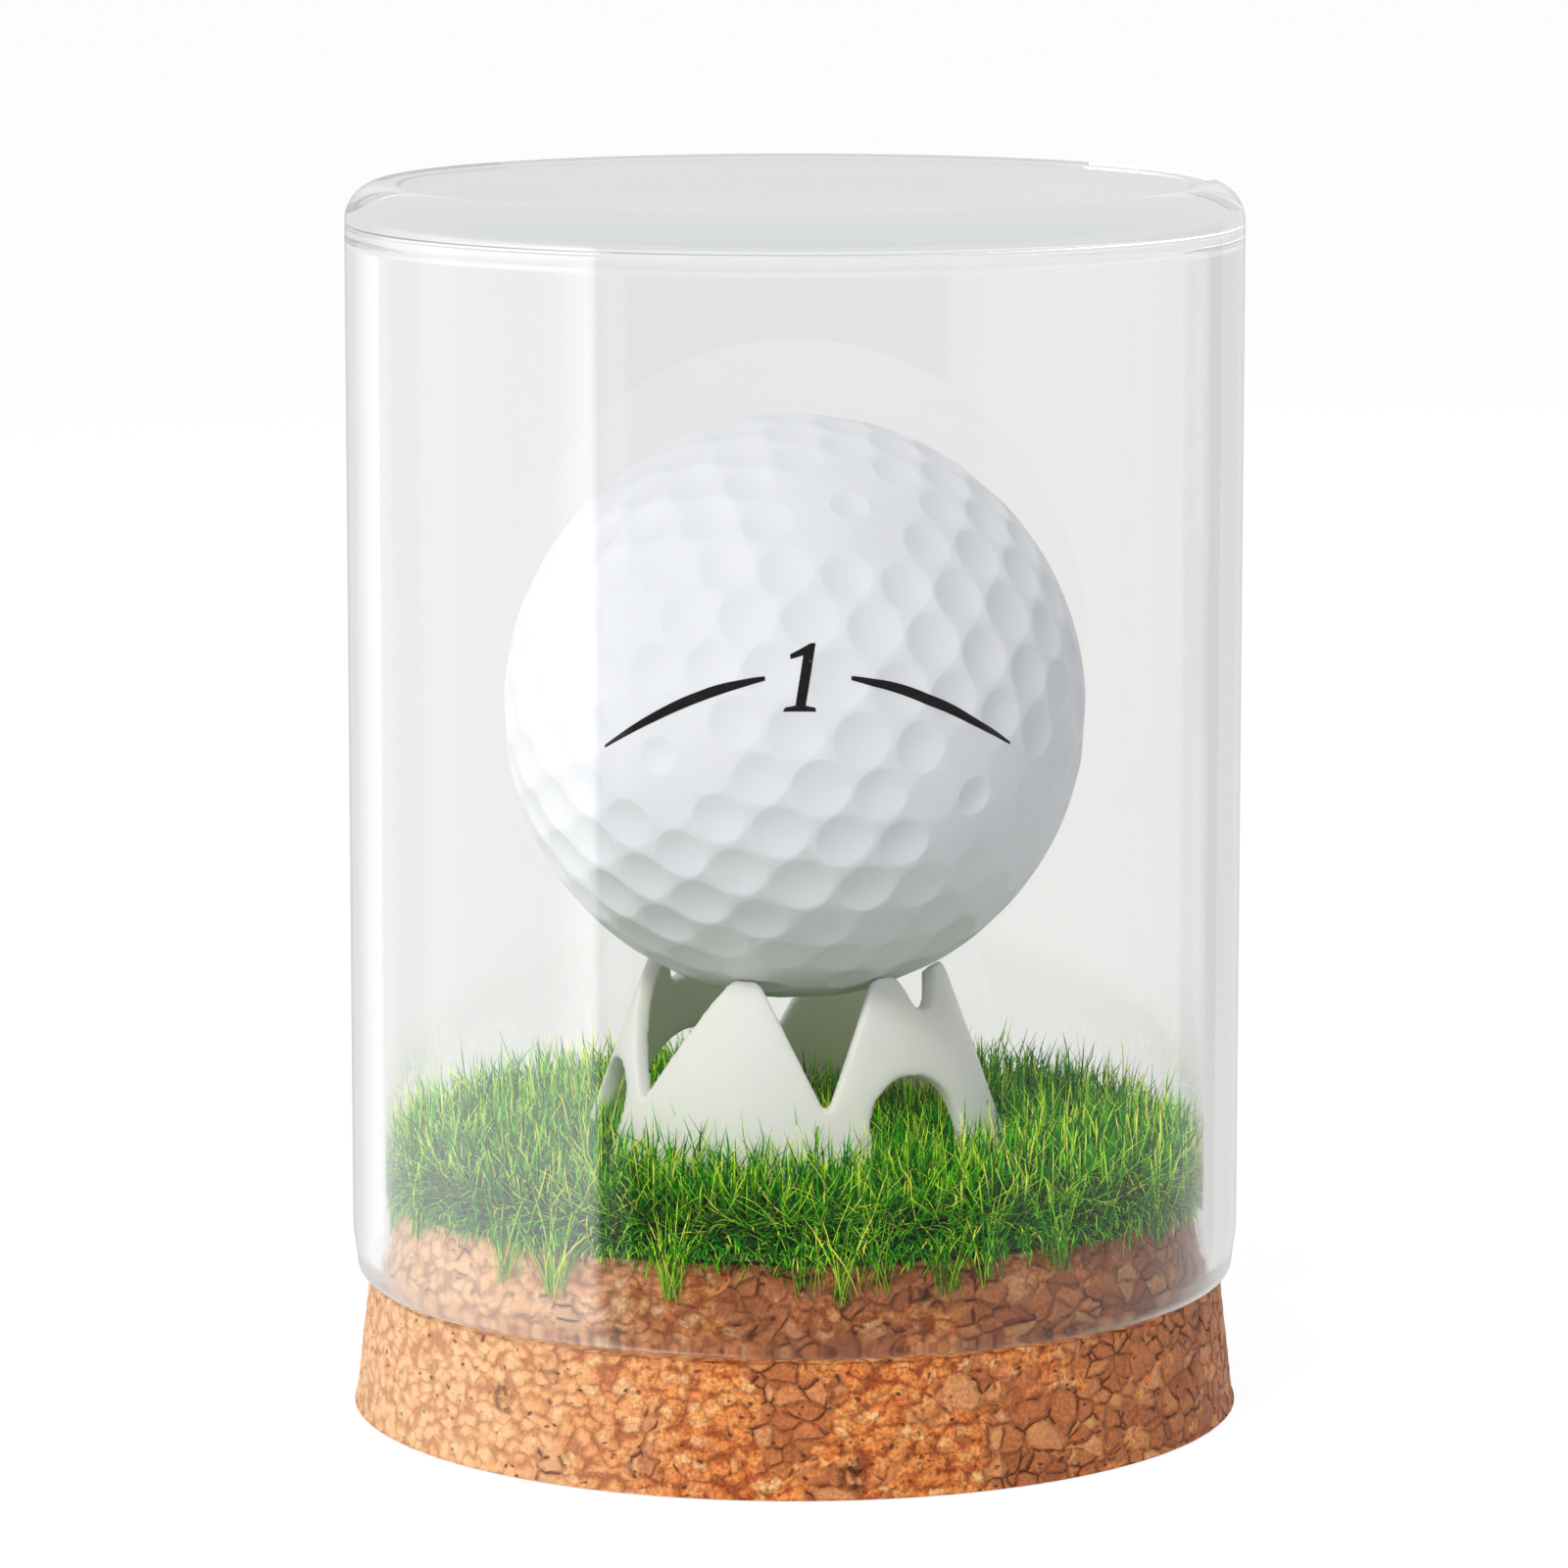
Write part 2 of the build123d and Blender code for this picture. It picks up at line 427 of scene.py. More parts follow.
class Board:
    """Adds nodes to one material, world or geometry tree."""

    def __init__(self, tree: bpy.types.NodeTree) -> None:
        """Takes over a tree.

        Args:
            tree: The node tree.
        """
        self.tree = tree

    def node(
        self,
        kind: str,
        settings: dict[str, Setting] | None = None,
        sockets: dict[str, Link] | None = None,
    ) -> bpy.types.Node:
        """Adds a node.

        Args:
            kind: The node's type.
            settings: Its properties, which are set first.
            sockets: Values or links by the socket's name or identifier.

        Returns:
            The node.
        """
        made = self.tree.nodes.new(kind)
        for name, value in (settings or {}).items():
            setattr(made, name, value)
        for name, value in (sockets or {}).items():
            socket = next(s for s in made.inputs if name in (s.identifier, s.name) and s.enabled)
            self.join(value, socket)
        return made

    def add(
        self,
        kind: str,
        settings: dict[str, Setting] | None = None,
        sockets: dict[str, Link] | None = None,
        output: str | int = 0,
    ) -> Wire:
        """Adds a node and gives one of its outputs.

        Args:
            kind: The node's type.
            settings: Its properties, which are set first.
            sockets: Values or links by the socket's name or identifier.
            output: The output's name, identifier or number.

        Returns:
            The output.
        """
        made = self.node(kind, settings, sockets)
        if isinstance(output, int):
            found = [s for s in made.outputs if s.enabled][output]
        else:
            found = next(s for s in made.outputs if output in (s.identifier, s.name) and s.enabled)
        return Wire(self, found)

    def join(self, value: Link, socket: bpy.types.NodeSocket) -> None:
        """Gives a socket a link or a plain value.

        Args:
            value: A Wire, number, colour or vector.
            socket: The input socket.
        """
        if isinstance(value, Wire):
            self.tree.links.new(value.socket, socket)
        elif socket.type == "RGBA":
            socket.default_value = (*value, 1.0)
        else:
            socket.default_value = value

    def maths(self, operation: str, *values: Link) -> Wire:
        """Adds a Math node.

        Args:
            operation: Its operation.
            *values: Its inputs.

        Returns:
            The result.
        """
        made = self.node("ShaderNodeMath", {"operation": operation})
        for value, socket in zip(values, made.inputs):
            self.join(value, socket)
        return Wire(self, made.outputs[0])

    def vector(self, operation: str, *values: Link) -> Wire:
        """Adds a Vector Math node.

        Args:
            operation: Its operation.
            *values: Its inputs.

        Returns:
            The result.
        """
        made = self.node("ShaderNodeVectorMath", {"operation": operation})
        for value, socket in zip(values, [s for s in made.inputs if s.enabled]):
            self.join(value, socket)
        return Wire(self, made.outputs["Vector"])

    def scaled(self, place: Wire, factors: tuple[float, float, float]) -> Wire:
        """Stretches a pattern's place along the axes."""
        return self.vector("MULTIPLY", place, factors)

    def axes(self, vector: Link) -> list[Wire]:
        """Splits a vector into x, y and z."""
        split = self.node("ShaderNodeSeparateXYZ", None, {"Vector": vector})
        return [Wire(self, split.outputs[axis]) for axis in "XYZ"]

    def light_path(self, *kinds: str) -> list[Wire]:
        """Asks what kind of light ray meets the surface.

        Args:
            *kinds: Names of the Light Path node's outputs.

        Returns:
            The outputs, in the same order.
        """
        path = self.node("ShaderNodeLightPath")
        return [Wire(self, path.outputs[kind]) for kind in kinds]

    def layered(self, factor: Link, first: Wire, second: Wire) -> Wire:
        """Mixes two shaders.

        Args:
            factor: How much of the second shows.
            first: A shader.
            second: A shader.

        Returns:
            The mixed shader.
        """
        sockets = {"Fac": factor, "Shader": first, "Shader_001": second}
        return self.add("ShaderNodeMixShader", None, sockets)

    def blend(self, factor: Link, first: Link, second: Link, way: str = "MIX") -> Wire:
        """Mixes two colours.

        Args:
            factor: How much of the second shows.
            first: A colour or link.
            second: A colour or link.
            way: The blend type.

        Returns:
            The mixed colour.
        """
        return self.add(
            "ShaderNodeMix",
            {"data_type": "RGBA", "blend_type": way, "clamp_factor": True},
            {"Factor_Float": factor, "A_Color": first, "B_Color": second},
            "Result_Color",
        )

    def ramp(self, factor: Link, stops: Sequence[tuple[float, Colour]]) -> Wire:
        """Adds a colour ramp.

        Args:
            factor: Where on the ramp.
            stops: Places and colours, in order.

        Returns:
            The colour.
        """
        made = self.node("ShaderNodeValToRGB", None, {"Fac": factor})
        elements = made.color_ramp.elements
        while len(elements) < len(stops):
            elements.new(0.5)
        for element, (place, colour) in zip(elements, stops):
            element.position = place
            element.color = (*colour, 1.0)
        return Wire(self, made.outputs["Color"])

    def noise(
        self,
        place: Link,
        scale: float,
        detail: float = 2.0,
        roughness: float = 0.5,
        output: str | int = 0,
    ) -> Wire:
        """Adds a Noise texture.

        Args:
            place: Where.
            scale: Lumps to a metre.
            detail: Octaves.
            roughness: Weight of the finer octaves.
            output: The output's name or number.

        Returns:
            A value or a colour round 0.5.
        """
        sockets = {"Vector": place, "Scale": scale, "Detail": detail, "Roughness": roughness}
        return self.add("ShaderNodeTexNoise", {"noise_dimensions": "3D"}, sockets, output)

    def wobbled(self, place: Wire, scale: float, reach: float) -> Wire:
        """Moves a pattern's place about, so that its lines aren't straight.

        Args:
            place: Where.
            scale: Lumps to a metre.
            reach: How far it moves, in metres.

        Returns:
            The moved place.
        """
        drift = self.noise(place, scale, output="Color")
        centred = self.vector("SUBTRACT", drift, (0.5, 0.5, 0.5))
        return self.vector("ADD", place, self.vector("MULTIPLY", centred, (2 * reach,) * 3))

    def cells(
        self, place: Link, scale: float, feature: str = "F1", output: str = "Distance"
    ) -> Wire:
        """Adds a Voronoi texture.

        Args:
            place: Where.
            scale: Cells to a metre.
            feature: What is measured.
            output: The output's name.

        Returns:
            The output.
        """
        return self.add(
            "ShaderNodeTexVoronoi",
            {"voronoi_dimensions": "3D", "feature": feature},
            {"Vector": place, "Scale": scale},
            output,
        )


class Finish:
    """A procedural material. Each finish says what it feeds its shader."""

    name: str

    def material(self) -> bpy.types.Material:
        """Builds the material.

        Returns:
            The material, ready to wear.
        """
        made = bpy.data.materials.new(self.name)
        made.use_nodes = True
        made.node_tree.nodes.clear()
        board = Board(made.node_tree)
        surface = self.surface(board, board.add("ShaderNodeTexCoord", output="Object"))
        end = board.node("ShaderNodeOutputMaterial", {"target": "ALL"}, {"Surface": surface})
        depth = self.depth(board)
        if depth is not None:
            board.join(depth, end.inputs["Volume"])
        return made

    def surface(self, board: Board, place: Wire) -> Wire:
        """Gives the surface shader.

        Args:
            board: The material's board.
            place: Where, as an Object coordinate.

        Returns:
            The shader.
        """
        raise NotImplementedError

    def depth(self, board: Board) -> Wire | None:
        """Gives the shader of what is inside, if light passes through it."""
        return None

    @staticmethod
    def skin(board: Board, sockets: dict[str, Link]) -> Wire:
        """Adds a Principled shader."""
        return board.add("ShaderNodeBsdfPrincipled", None, sockets)

    @staticmethod
    def bumped(board: Board, height: Wire, distance: float, strength: float = 1.0) -> Wire:
        """Turns a height pattern into a normal.

        Args:
            board: The board.
            height: The pattern, from 0 to 1.
            distance: How high 1 is, in metres.
            strength: How strongly it shows.

        Returns:
            The normal.
        """
        return board.add(
            "ShaderNodeBump", None, {"Height": height, "Distance": distance, "Strength": strength}
        )


# ---------------------------------------------------------------- finishes


@dataclass(frozen=True)
class BlownGlass(Finish):
    """Clear blown glass with a green edge and a faint wave."""

    name: str = "blown_glass"
    tint: Colour = (0.99, 0.985, 0.978)
    other_tint: Colour = (0.984, 0.98, 0.97)
    ior: float = 1.47
    wave_scale: float = 45.0
    wave_height: float = 0.008 * MM
    most_turns: int = 2
    edge_colour: Colour = (0.3, 0.72, 0.6)
    edge_density: float = 2.2
    lip_top: float = 12.0 * MM
    lip_fade: tuple[float, float] = (0.5 * MM, 0.1 * MM)
    lip_haze: float = 0.22
    shadow_tint: Colour = (0.945, 0.945, 0.94)

    def surface(self, board: Board, place: Wire) -> Wire:
        """Gives the surface shader, clear to diffuse light and to light caught in the glass.

        Args:
            board: The material's board.
            place: Where, as an Object coordinate.

        Returns:
            The shader.
        """
        wave = board.noise(place, self.wave_scale, 1.0)
        below, above = self.lip_fade
        haze = 1 - board.axes(place)[2].between(self.lip_top - below, self.lip_top + above)
        glass = self.skin(
            board,
            {
                "Base Color": board.blend(wave, self.tint, self.other_tint),
                "Roughness": haze * self.lip_haze,
                "IOR": self.ior,
                "Transmission Weight": 1.0,
                "Normal": self.bumped(board, wave, self.wave_height),
            },
        )
        diffuse, turns = board.light_path("Is Diffuse Ray", "Glossy Depth")
        trapped = turns > self.most_turns + 0.5
        clear = board.add("ShaderNodeBsdfTransparent", None, {"Color": self.shadow_tint})
        return board.layered(diffuse.most(trapped), glass, clear)

    def depth(self, board: Board) -> Wire:
        """Gives the green that long paths through the glass take on."""
        sockets = {"Color": self.edge_colour, "Density": self.edge_density}
        return board.add("ShaderNodeVolumeAbsorption", None, sockets)


@dataclass(frozen=True)
class Grain:
    """Where the parts of pressed cork lie, each from 0 to 1.

    Attributes:
        crumbs: Patches of fine crumbs.
        seam: Dark gaps between granules.
        knot: Dark bark.
        swell: How far a granule stands out.
    """

    crumbs: Wire
    seam: Wire
    knot: Wire
    swell: Wire


@dataclass(frozen=True)
class PressedCork(Finish):
    """Cork granules pressed together: plates, crumbs, seams, pits and knots.

    Attributes:
        plate: Size of the large granules.
        chip: Size of the small ones among them.
        crumb: Size of the fine crumbs.
        grit: Size of the grains in a granule.
        pit: Distance between pits.
        knot: Distance between knots of bark.
        flatten: How a granule is pressed flat, along each axis.
        pit_flatten: The same for a pit.
        flange: Height of the flange's top.
        uneven: Bends to a metre of every granule's outline, and how far they go.
        torn: The same for the finer bends of crumbs.
        chip_patches: Patches of small granules to a metre.
        crumb_patches: Patches of crumbs to a metre.
        breaks: Breaks in the seams to a metre.
        crumbs_aside: How much more crumbs there are to each metre towards +X.
        painted_light_from: Where the painted light on the left side starts and is whole, towards
            -X.
        relief: How high the bump stands.
        plate_tones: Colours of plates and chips.
        crumb_tones: Colours of crumbs.
        painted_relief_tones: Painted shade and highlight from a granule's rim to its middle: dark
            in the hollows, lighter than the cork on the tops.
        painted_light_colour: Pale colour painted on the left side, where the lamps light the cork
            most: painted light.
        painted_plug_shade: Painted shade on the plug inside the dome, darker and bluer than the
            cork below.
        bloom: Weight of the dusty sheen.
        seam_colour: Colour of gaps.
        knot_colour: Colour of bark.
    """

    name: str = "pressed_cork"
    plate: float = 3.0 * MM
    chip: float = 1.8 * MM
    crumb: float = 1.1 * MM
    grit: float = 0.3 * MM
    pit: float = 1.35 * MM
    knot: float = 10.5 * MM
    flatten: tuple[float, float, float] = (1.0, 1.0, 1.35)
    pit_flatten: tuple[float, float, float] = (1.0, 1.0, 1.7)
    flange: float = 10.0 * MM
    uneven: tuple[float, float] = (330.0, 0.8 * MM)
    torn: tuple[float, float] = (1400.0, 0.3 * MM)
    chip_patches: float = 210.0
    crumb_patches: float = 170.0
    breaks: float = 620.0
    crumbs_aside: float = -5.0
    painted_light_from: tuple[float, float] = (4 * MM, 27 * MM)
    relief: float = 0.3 * MM
    plate_tones: Stops = (
        (0.0, (0.48, 0.14, 0.04)),
        (0.3, (0.66, 0.215, 0.064)),
        (0.55, (0.56, 0.172, 0.05)),
        (0.8, (0.74, 0.27, 0.088)),
        (1.0, (0.86, 0.4, 0.16)),
    )
    crumb_tones: Stops = (
        (0.0, (0.86, 0.25, 0.055)),
        (0.4, (0.92, 0.32, 0.08)),
        (0.75, (0.96, 0.4, 0.12)),
        (1.0, (1.0, 0.58, 0.26)),
    )
    painted_relief_tones: Stops = (
        (0.0, (0.46, 0.28, 0.18)),
        (0.3, (0.8, 0.66, 0.54)),
        (0.7, (1.0, 0.97, 0.94)),
        (1.0, (1.06, 1.12, 1.2)),
    )
    painted_light_colour: Colour = (0.98, 0.62, 0.34)
    painted_plug_shade: Colour = (0.66, 0.7, 0.84)
    bloom: float = 0.05
    seam_colour: Colour = (0.1, 0.016, 0.004)
    knot_colour: Colour = (0.05, 0.016, 0.012)

    def bent(self, board: Board, place: Wire, ragged: bool) -> Wire:
        """Moves the pattern's place about, so that granules have uneven outlines.

        Args:
            board: A material's or a geometry's board.
            place: Where.
            ragged: Whether the outlines are torn as well.

        Returns:
            The moved place.
        """
        moved = board.wobbled(place, *self.uneven)
        if ragged:
            moved = board.wobbled(moved, *self.torn)
        return board.scaled(moved, self.flatten)

    def plates(
        self, board: Board, place: Wire, feature: str = "F1", output: str = "Distance"
    ) -> tuple[Wire, Wire, Wire]:
        """Lays out the plates and the chips that take their place in patches.

        Args:
            board: A material's or a geometry's board.
            place: Where.
            feature: What is measured of each granule.
            output: The cell pattern's output.

        Returns:
            Where chips lie, and what is measured of the plates and of the chips.
        """
        bent = self.bent(board, place, False)
        chips = board.noise(place, self.chip_patches, 1.0).between(0.48, 0.5)
        large, small = (
            board.cells(bent, 1 / size, feature, output) for size in (self.plate, self.chip)
        )
        return chips, large, small

    def grain(self, board: Board, place: Wire) -> Grain:
        """Lays out the granules, alike for the mesh and the colour.

        Args:
            board: A material's or a geometry's board.
            place: Where.

        Returns:
            The parts.
        """
        x, _, z = board.axes(place)
        low = 1 - z.between(self.flange - 0.4 * MM, self.flange + 0.3 * MM)
        chips, large, small = self.plates(board, place, "DISTANCE_TO_EDGE")
        plate_edge = large * (1 - chips) + small * chips
        crumb = 1 - board.cells(self.bent(board, place, True), 1 / self.crumb).between(0.28, 0.84)
        patches = board.noise(place, self.crumb_patches, 3.0, 0.6)
        crumbs = (patches + low * 0.05 + x * self.crumbs_aside).between(0.47, 0.53)
        broken = board.noise(place, self.breaks, 2.0)
        plate_seam = 1 - plate_edge.between(0.0, 0.045)
        plate_seam = plate_seam * broken.between(0.5, 0.56) * (1 - crumbs)
        holes = board.scaled(board.wobbled(place, 900.0, 0.5 * MM), self.pit_flatten)
        pit = 1 - board.cells(holes, 1 / self.pit).between(0.08, 0.2)
        pit = pit * (0.45 + low * 0.55) * broken.between(0.4, 0.5)
        spots = board.cells(board.wobbled(place, 500.0, 0.9 * MM), 1 / self.knot)
        torn_bark = board.noise(place, 1500.0, 2.0).between(0.35, 0.6)
        knot = (1 - spots.between(0.06, 0.16)) * torn_bark
        swell = plate_edge.between(0.0, 0.16) * (1 - crumbs) + crumb * crumbs
        return Grain(crumbs, plate_seam.most(pit), knot, swell)

    def surface(self, board: Board, place: Wire) -> Wire:
        """Gives the surface shader.

        Args:
            board: The material's board.
            place: Where, as an Object coordinate.

        Returns:
            The shader.
        """
        grain = self.grain(board, place)
        grit = board.noise(place, 1 / self.grit, 3.0, 0.65)
        height = grain.swell * 0.9 + grit * 0.4 - grain.seam * 0.7 - grain.knot * 0.5
        return self.skin(
            board,
            {
                "Base Color": self._colour(board, place, grain, grit),
                "Roughness": 0.42 + grit * 0.2,
                "IOR": 1.5,
                "Specular IOR Level": 0.4,
                "Sheen Weight": self.bloom,
                "Sheen Roughness": 0.45,
                "Normal": self.bumped(board, height, self.relief, 0.85),
            },
        )

    def _colour(self, board: Board, place: Wire, grain: Grain, grit: Wire) -> Wire:
        """Colours the granules, multiplies in a tone from the grit, the painted shade on the plug
        and the painted shade and highlight of the relief, then paints light on the left side and
        darkens the seams and knots.

        Args:
            board: The material's board.
            place: Where.
            grain: Where the parts lie.
            grit: The grains in a granule.

        Returns:
            The colour.
        """
        chips, large, small = self.plates(board, place, output="Color")
        torn = board.cells(self.bent(board, place, True), 1 / self.crumb, output="Color")
        plate_tone = self._tone(board, board.blend(chips, large, small))
        body = board.blend(
            grain.crumbs,
            board.ramp(plate_tone, self.plate_tones),
            board.ramp(self._tone(board, torn), self.crumb_tones),
        )
        x, _, z = board.axes(place)
        shade = board.ramp(
            grit.between(0.32, 0.66), ((0.0, (0.5, 0.4, 0.33)), (1.0, (1.12, 1.12, 1.12)))
        )
        # Painted shade: the plug above the flange, under the grass and the glass, is darkened.
        inside = z.between(self.flange - 0.3 * MM, self.flange + 0.6 * MM)
        # Painted shade in the hollows between granules and painted highlight on their tops.
        painted_relief = board.ramp(grain.swell, self.painted_relief_tones)
        for share, tint in (
            (grain.crumbs * 0.3 + 0.6, shade),
            (inside * 0.8, self.painted_plug_shade),
            (grain.crumbs * 0.55 + 0.4, painted_relief),
        ):
            body = board.blend(share, body, tint, "MULTIPLY")
        # Painted light: the left side, towards the lamps, is painted paler, most on the granules'
        # tops.
        painted_light_share = (x * -1.0).between(*self.painted_light_from) * (0.35 + grain.swell * 0.5)
        for share, paint in (
            (painted_light_share, self.painted_light_colour),
            (grain.seam * 0.85, self.seam_colour),
            (grain.knot * 0.92, self.knot_colour),
        ):
            body = board.blend(share, body, paint)
        return body

    @staticmethod
    def _tone(board: Board, cell: Wire) -> Wire:
        """Takes one number from a cell's own colour."""
        return board.add("ShaderNodeSeparateColor", None, {"Color": cell}, "Red")


@dataclass(frozen=True)
class Yarn(Finish):
    """Turf yarn, coloured by the piece's own map: a blade's tone across it and its height up it.

    Attributes:
        name: The material's name.
        tones: Colours from the darkest blade to the palest.
        rise: Painted shade and light up each blade: nearly black at the root, where the blades
            shade each other, and brighter than the blade's tone at the tip.
    """

    name: str = "grass_yarn"
    tones: Stops = (
        (0.0, (0.004, 0.11, 0.001)),
        (0.3, (0.012, 0.29, 0.002)),
        (0.5, (0.05, 0.52, 0.004)),
        (0.68, (0.24, 0.76, 0.01)),
        (0.85, (0.6, 0.96, 0.05)),
        (1.0, (0.95, 1.0, 0.24)),
    )
    rise: Stops = (
        (0.0, (0.03, 0.05, 0.04)),
        (0.3, (0.12, 0.2, 0.12)),
        (0.6, (0.6, 0.74, 0.5)),
        (0.85, (1.5, 1.3, 1.0)),
        (1.0, (2.0, 1.5, 1.2)),
    )

    def surface(self, board: Board, place: Wire) -> Wire:
        """Gives the surface shader.

        Args:
            board: The material's board.
            place: Where, as an Object coordinate; not used.

        Returns:
            The shader.
        """
        which, along, _ = board.axes(board.add("ShaderNodeUVMap", {"uv_map": BAKE_MAP}))
        # Painted shade and light: the rise ramp darkens each blade's root and brightens its tip.
        tone, rise = board.ramp(which, self.tones), board.ramp(along, self.rise)
        return self.skin(
            board,
            {
                "Base Color": board.blend(1.0, tone, rise, "MULTIPLY"),
                "Roughness": 0.36 + along * 0.12,
                "Specular IOR Level": 0.16,
            },
        )


@dataclass(frozen=True)
class MouldedPlastic(Finish):
    """Warm white moulded plastic that glows where light falls on its far side."""

    name: str = "stand_plastic"
    light: Colour = (0.998, 0.946, 0.895)
    warm: Colour = (0.995, 0.932, 0.85)
    depth_into: float = 1.1 * MM
    passes: float = 0.95

    def surface(self, board: Board, place: Wire) -> Wire:
        """Gives the surface shader.

        Args:
            board: The material's board.
            place: Where, as an Object coordinate.

        Returns:
            The shader.
        """
        flow = board.noise(board.scaled(place, (1.0, 1.0, 0.4)), 180.0, 3.0).between(0.35, 0.65)
        grain = board.noise(place, 2600.0, 2.0)
        shell = self.skin(
            board,
            {
                "Base Color": board.blend(flow, self.light, self.warm),
                "Roughness": 0.36 + grain * 0.12,
                "Subsurface Weight": 1.0,
                "Subsurface Radius": (1.0, 1.0, 0.95),
                "Subsurface Scale": self.depth_into,
                "Normal": self.bumped(board, grain, 0.01 * MM),
            },
        )
        (shade,) = board.light_path("Is Shadow Ray")
        clear = board.add("ShaderNodeBsdfTransparent", None, {"Color": self.warm})
        return board.layered(shade * self.passes, shell, clear)


@dataclass(frozen=True)
class BallPaint(Finish):
    """White ball paint under clear coat."""

    name: str = "ball_paint"
    light: Colour = (0.87, 0.895, 0.95)
    other: Colour = (0.845, 0.87, 0.93)

    def surface(self, board: Board, place: Wire) -> Wire:
        """Gives the surface shader.

        Args:
            board: The material's board.
            place: Where, as an Object coordinate.

        Returns:
            The shader.
        """
        flow = board.noise(place, 120.0, 3.0)
        grain = board.noise(place, 3000.0, 2.0)
        return self.skin(
            board,
            {
                "Base Color": board.blend(flow.between(0.35, 0.65), self.light, self.other),
                "Roughness": 0.42 + grain * 0.1,
                "Specular IOR Level": 0.3,
                "Coat Weight": 0.1,
                "Coat Roughness": 0.22,
                "Normal": self.bumped(board, grain, 0.004 * MM),
            },
        )


@dataclass(frozen=True)
class PadPrint(Finish):
    """Black ink printed on the ball."""

    name: str = "ball_ink"
    ink: Colour = (0.006, 0.006, 0.007)
    thin: Colour = (0.02, 0.02, 0.022)

    def surface(self, board: Board, place: Wire) -> Wire:
        """Gives the surface shader.

        Args:
            board: The material's board.
            place: Where, as an Object coordinate.

        Returns:
            The shader.
        """
        worn = board.noise(place, 1800.0, 3.0)
        return self.skin(
            board,
            {
                "Base Color": board.blend(worn.between(0.55, 0.8), self.ink, self.thin),
                "Roughness": 0.6 + worn * 0.15,
                "Specular IOR Level": 0.15,
            },
        )


@dataclass(frozen=True)
class PlainLayer(Finish):
    """A hidden layer with a fine mottle: glue, latex, cloth or rubber.

    Attributes:
        name: The material's name.
        first: One colour.
        second: The other colour.
        scale: Lumps to a metre.
        roughness: The mean roughness.
        relief: How high the lumps are.
    """

    name: str
    first: Colour
    second: Colour
    scale: float
    roughness: float
    relief: float = 0.03 * MM

    def surface(self, board: Board, place: Wire) -> Wire:
        """Gives the surface shader.

        Args:
            board: The material's board.
            place: Where, as an Object coordinate.

        Returns:
            The shader.
        """
        mottle = board.noise(place, self.scale, 3.0)
        return self.skin(
            board,
            {
                "Base Color": board.blend(mottle.between(0.3, 0.7), self.first, self.second),
                "Roughness": self.roughness - 0.1 + mottle * 0.2,
                "Normal": self.bumped(board, mottle, self.relief),
            },
        )


@dataclass(frozen=True)
class WovenBacking(Finish):
    """The tufting cloth: a fine over-and-under weave."""

    name: str = "woven_backing"
    thread: Colour = (0.055, 0.085, 0.035)
    gap: Colour = (0.012, 0.02, 0.008)
    pitch: float = 0.9 * MM

    def surface(self, board: Board, place: Wire) -> Wire:
        """Gives the surface shader.

        Args:
            board: The material's board.
            place: Where, as an Object coordinate.

        Returns:
            The shader.
        """
        x, y, _ = board.axes(place)
        weave = self._thread(board, x).most(self._thread(board, y))
        return self.skin(
            board,
            {
                "Base Color": board.blend(weave, self.gap, self.thread),
                "Roughness": 0.9 - weave * 0.1,
                "Normal": self.bumped(board, weave, 0.1 * MM),
            },
        )

    def _thread(self, board: Board, distance: Wire) -> Wire:
        """Gives the height of one set of threads."""
        return board.maths("SINE", distance * (math.tau / self.pitch)) * 0.5 + 0.5


# ---------------------------------------------------------------- sub-assemblies


@dataclass
class GlassDome:
    """The blown dome, an upside-down cup with a fire-polished lip."""

    node: str = "glass_dome"
    bore: float = 30.3 * MM
    plate: float = 2.8 * MM
    shoulder: float = 2.8 * MM
    ceiling_round: float = 1.8 * MM
    crease: float = 0.09 * MM
    lip_round: float = 0.86 * MM
    lip_height: float = 3.6 * MM
    lip_draw: float = 0.35 * MM
    support: float = 0.12 * MM
    lathe: Lathe = Lathe(288)

    def build(self) -> bpy.types.Object:
        """Models and dresses the dome.

        Returns:
            The dome.
        """
        low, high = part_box(self.node)
        outer, seat, top = high[0], low[2], high[2]
        ceiling, near = top - self.plate, self.support
        lip = outer - self.lip_draw
        corners = [
            Corner(0.0, top),
            Corner(outer - self.shoulder - near, top),
            Corner(outer, top, self.shoulder, 12),
            Corner(outer, top - self.shoulder - near),
            Corner(outer - self.crease, top - self.shoulder - near - self.crease * 1.5),
            Corner(outer, top - self.shoulder - near - self.crease * 3),
            Corner(outer, top - self.shoulder - near - self.crease * 4),
            Corner(outer, seat + self.lip_height + 3 * near),
            Corner(outer - 0.03 * MM, seat + self.lip_height - 4 * near),
            Corner(lip + 0.02 * MM, seat + self.lip_round + near),
            Corner(lip, seat, self.lip_round, 7),
            Corner(self.bore, seat, self.lip_round, 7),
            Corner(self.bore, seat + self.lip_round + near),
            Corner(self.bore, ceiling - self.ceiling_round - near),
            Corner(self.bore, ceiling, self.ceiling_round, 9),
            Corner(self.bore - self.ceiling_round - near, ceiling),
            Corner(0.0, ceiling),
        ]
        dome = self.lathe.turn("dome_glass", corners)
        Bench.dress(dome, BlownGlass().material())
        dome.visible_shadow = False
        Bench.fit(dome, Body.DOME, "glass", self.node)
        return dome


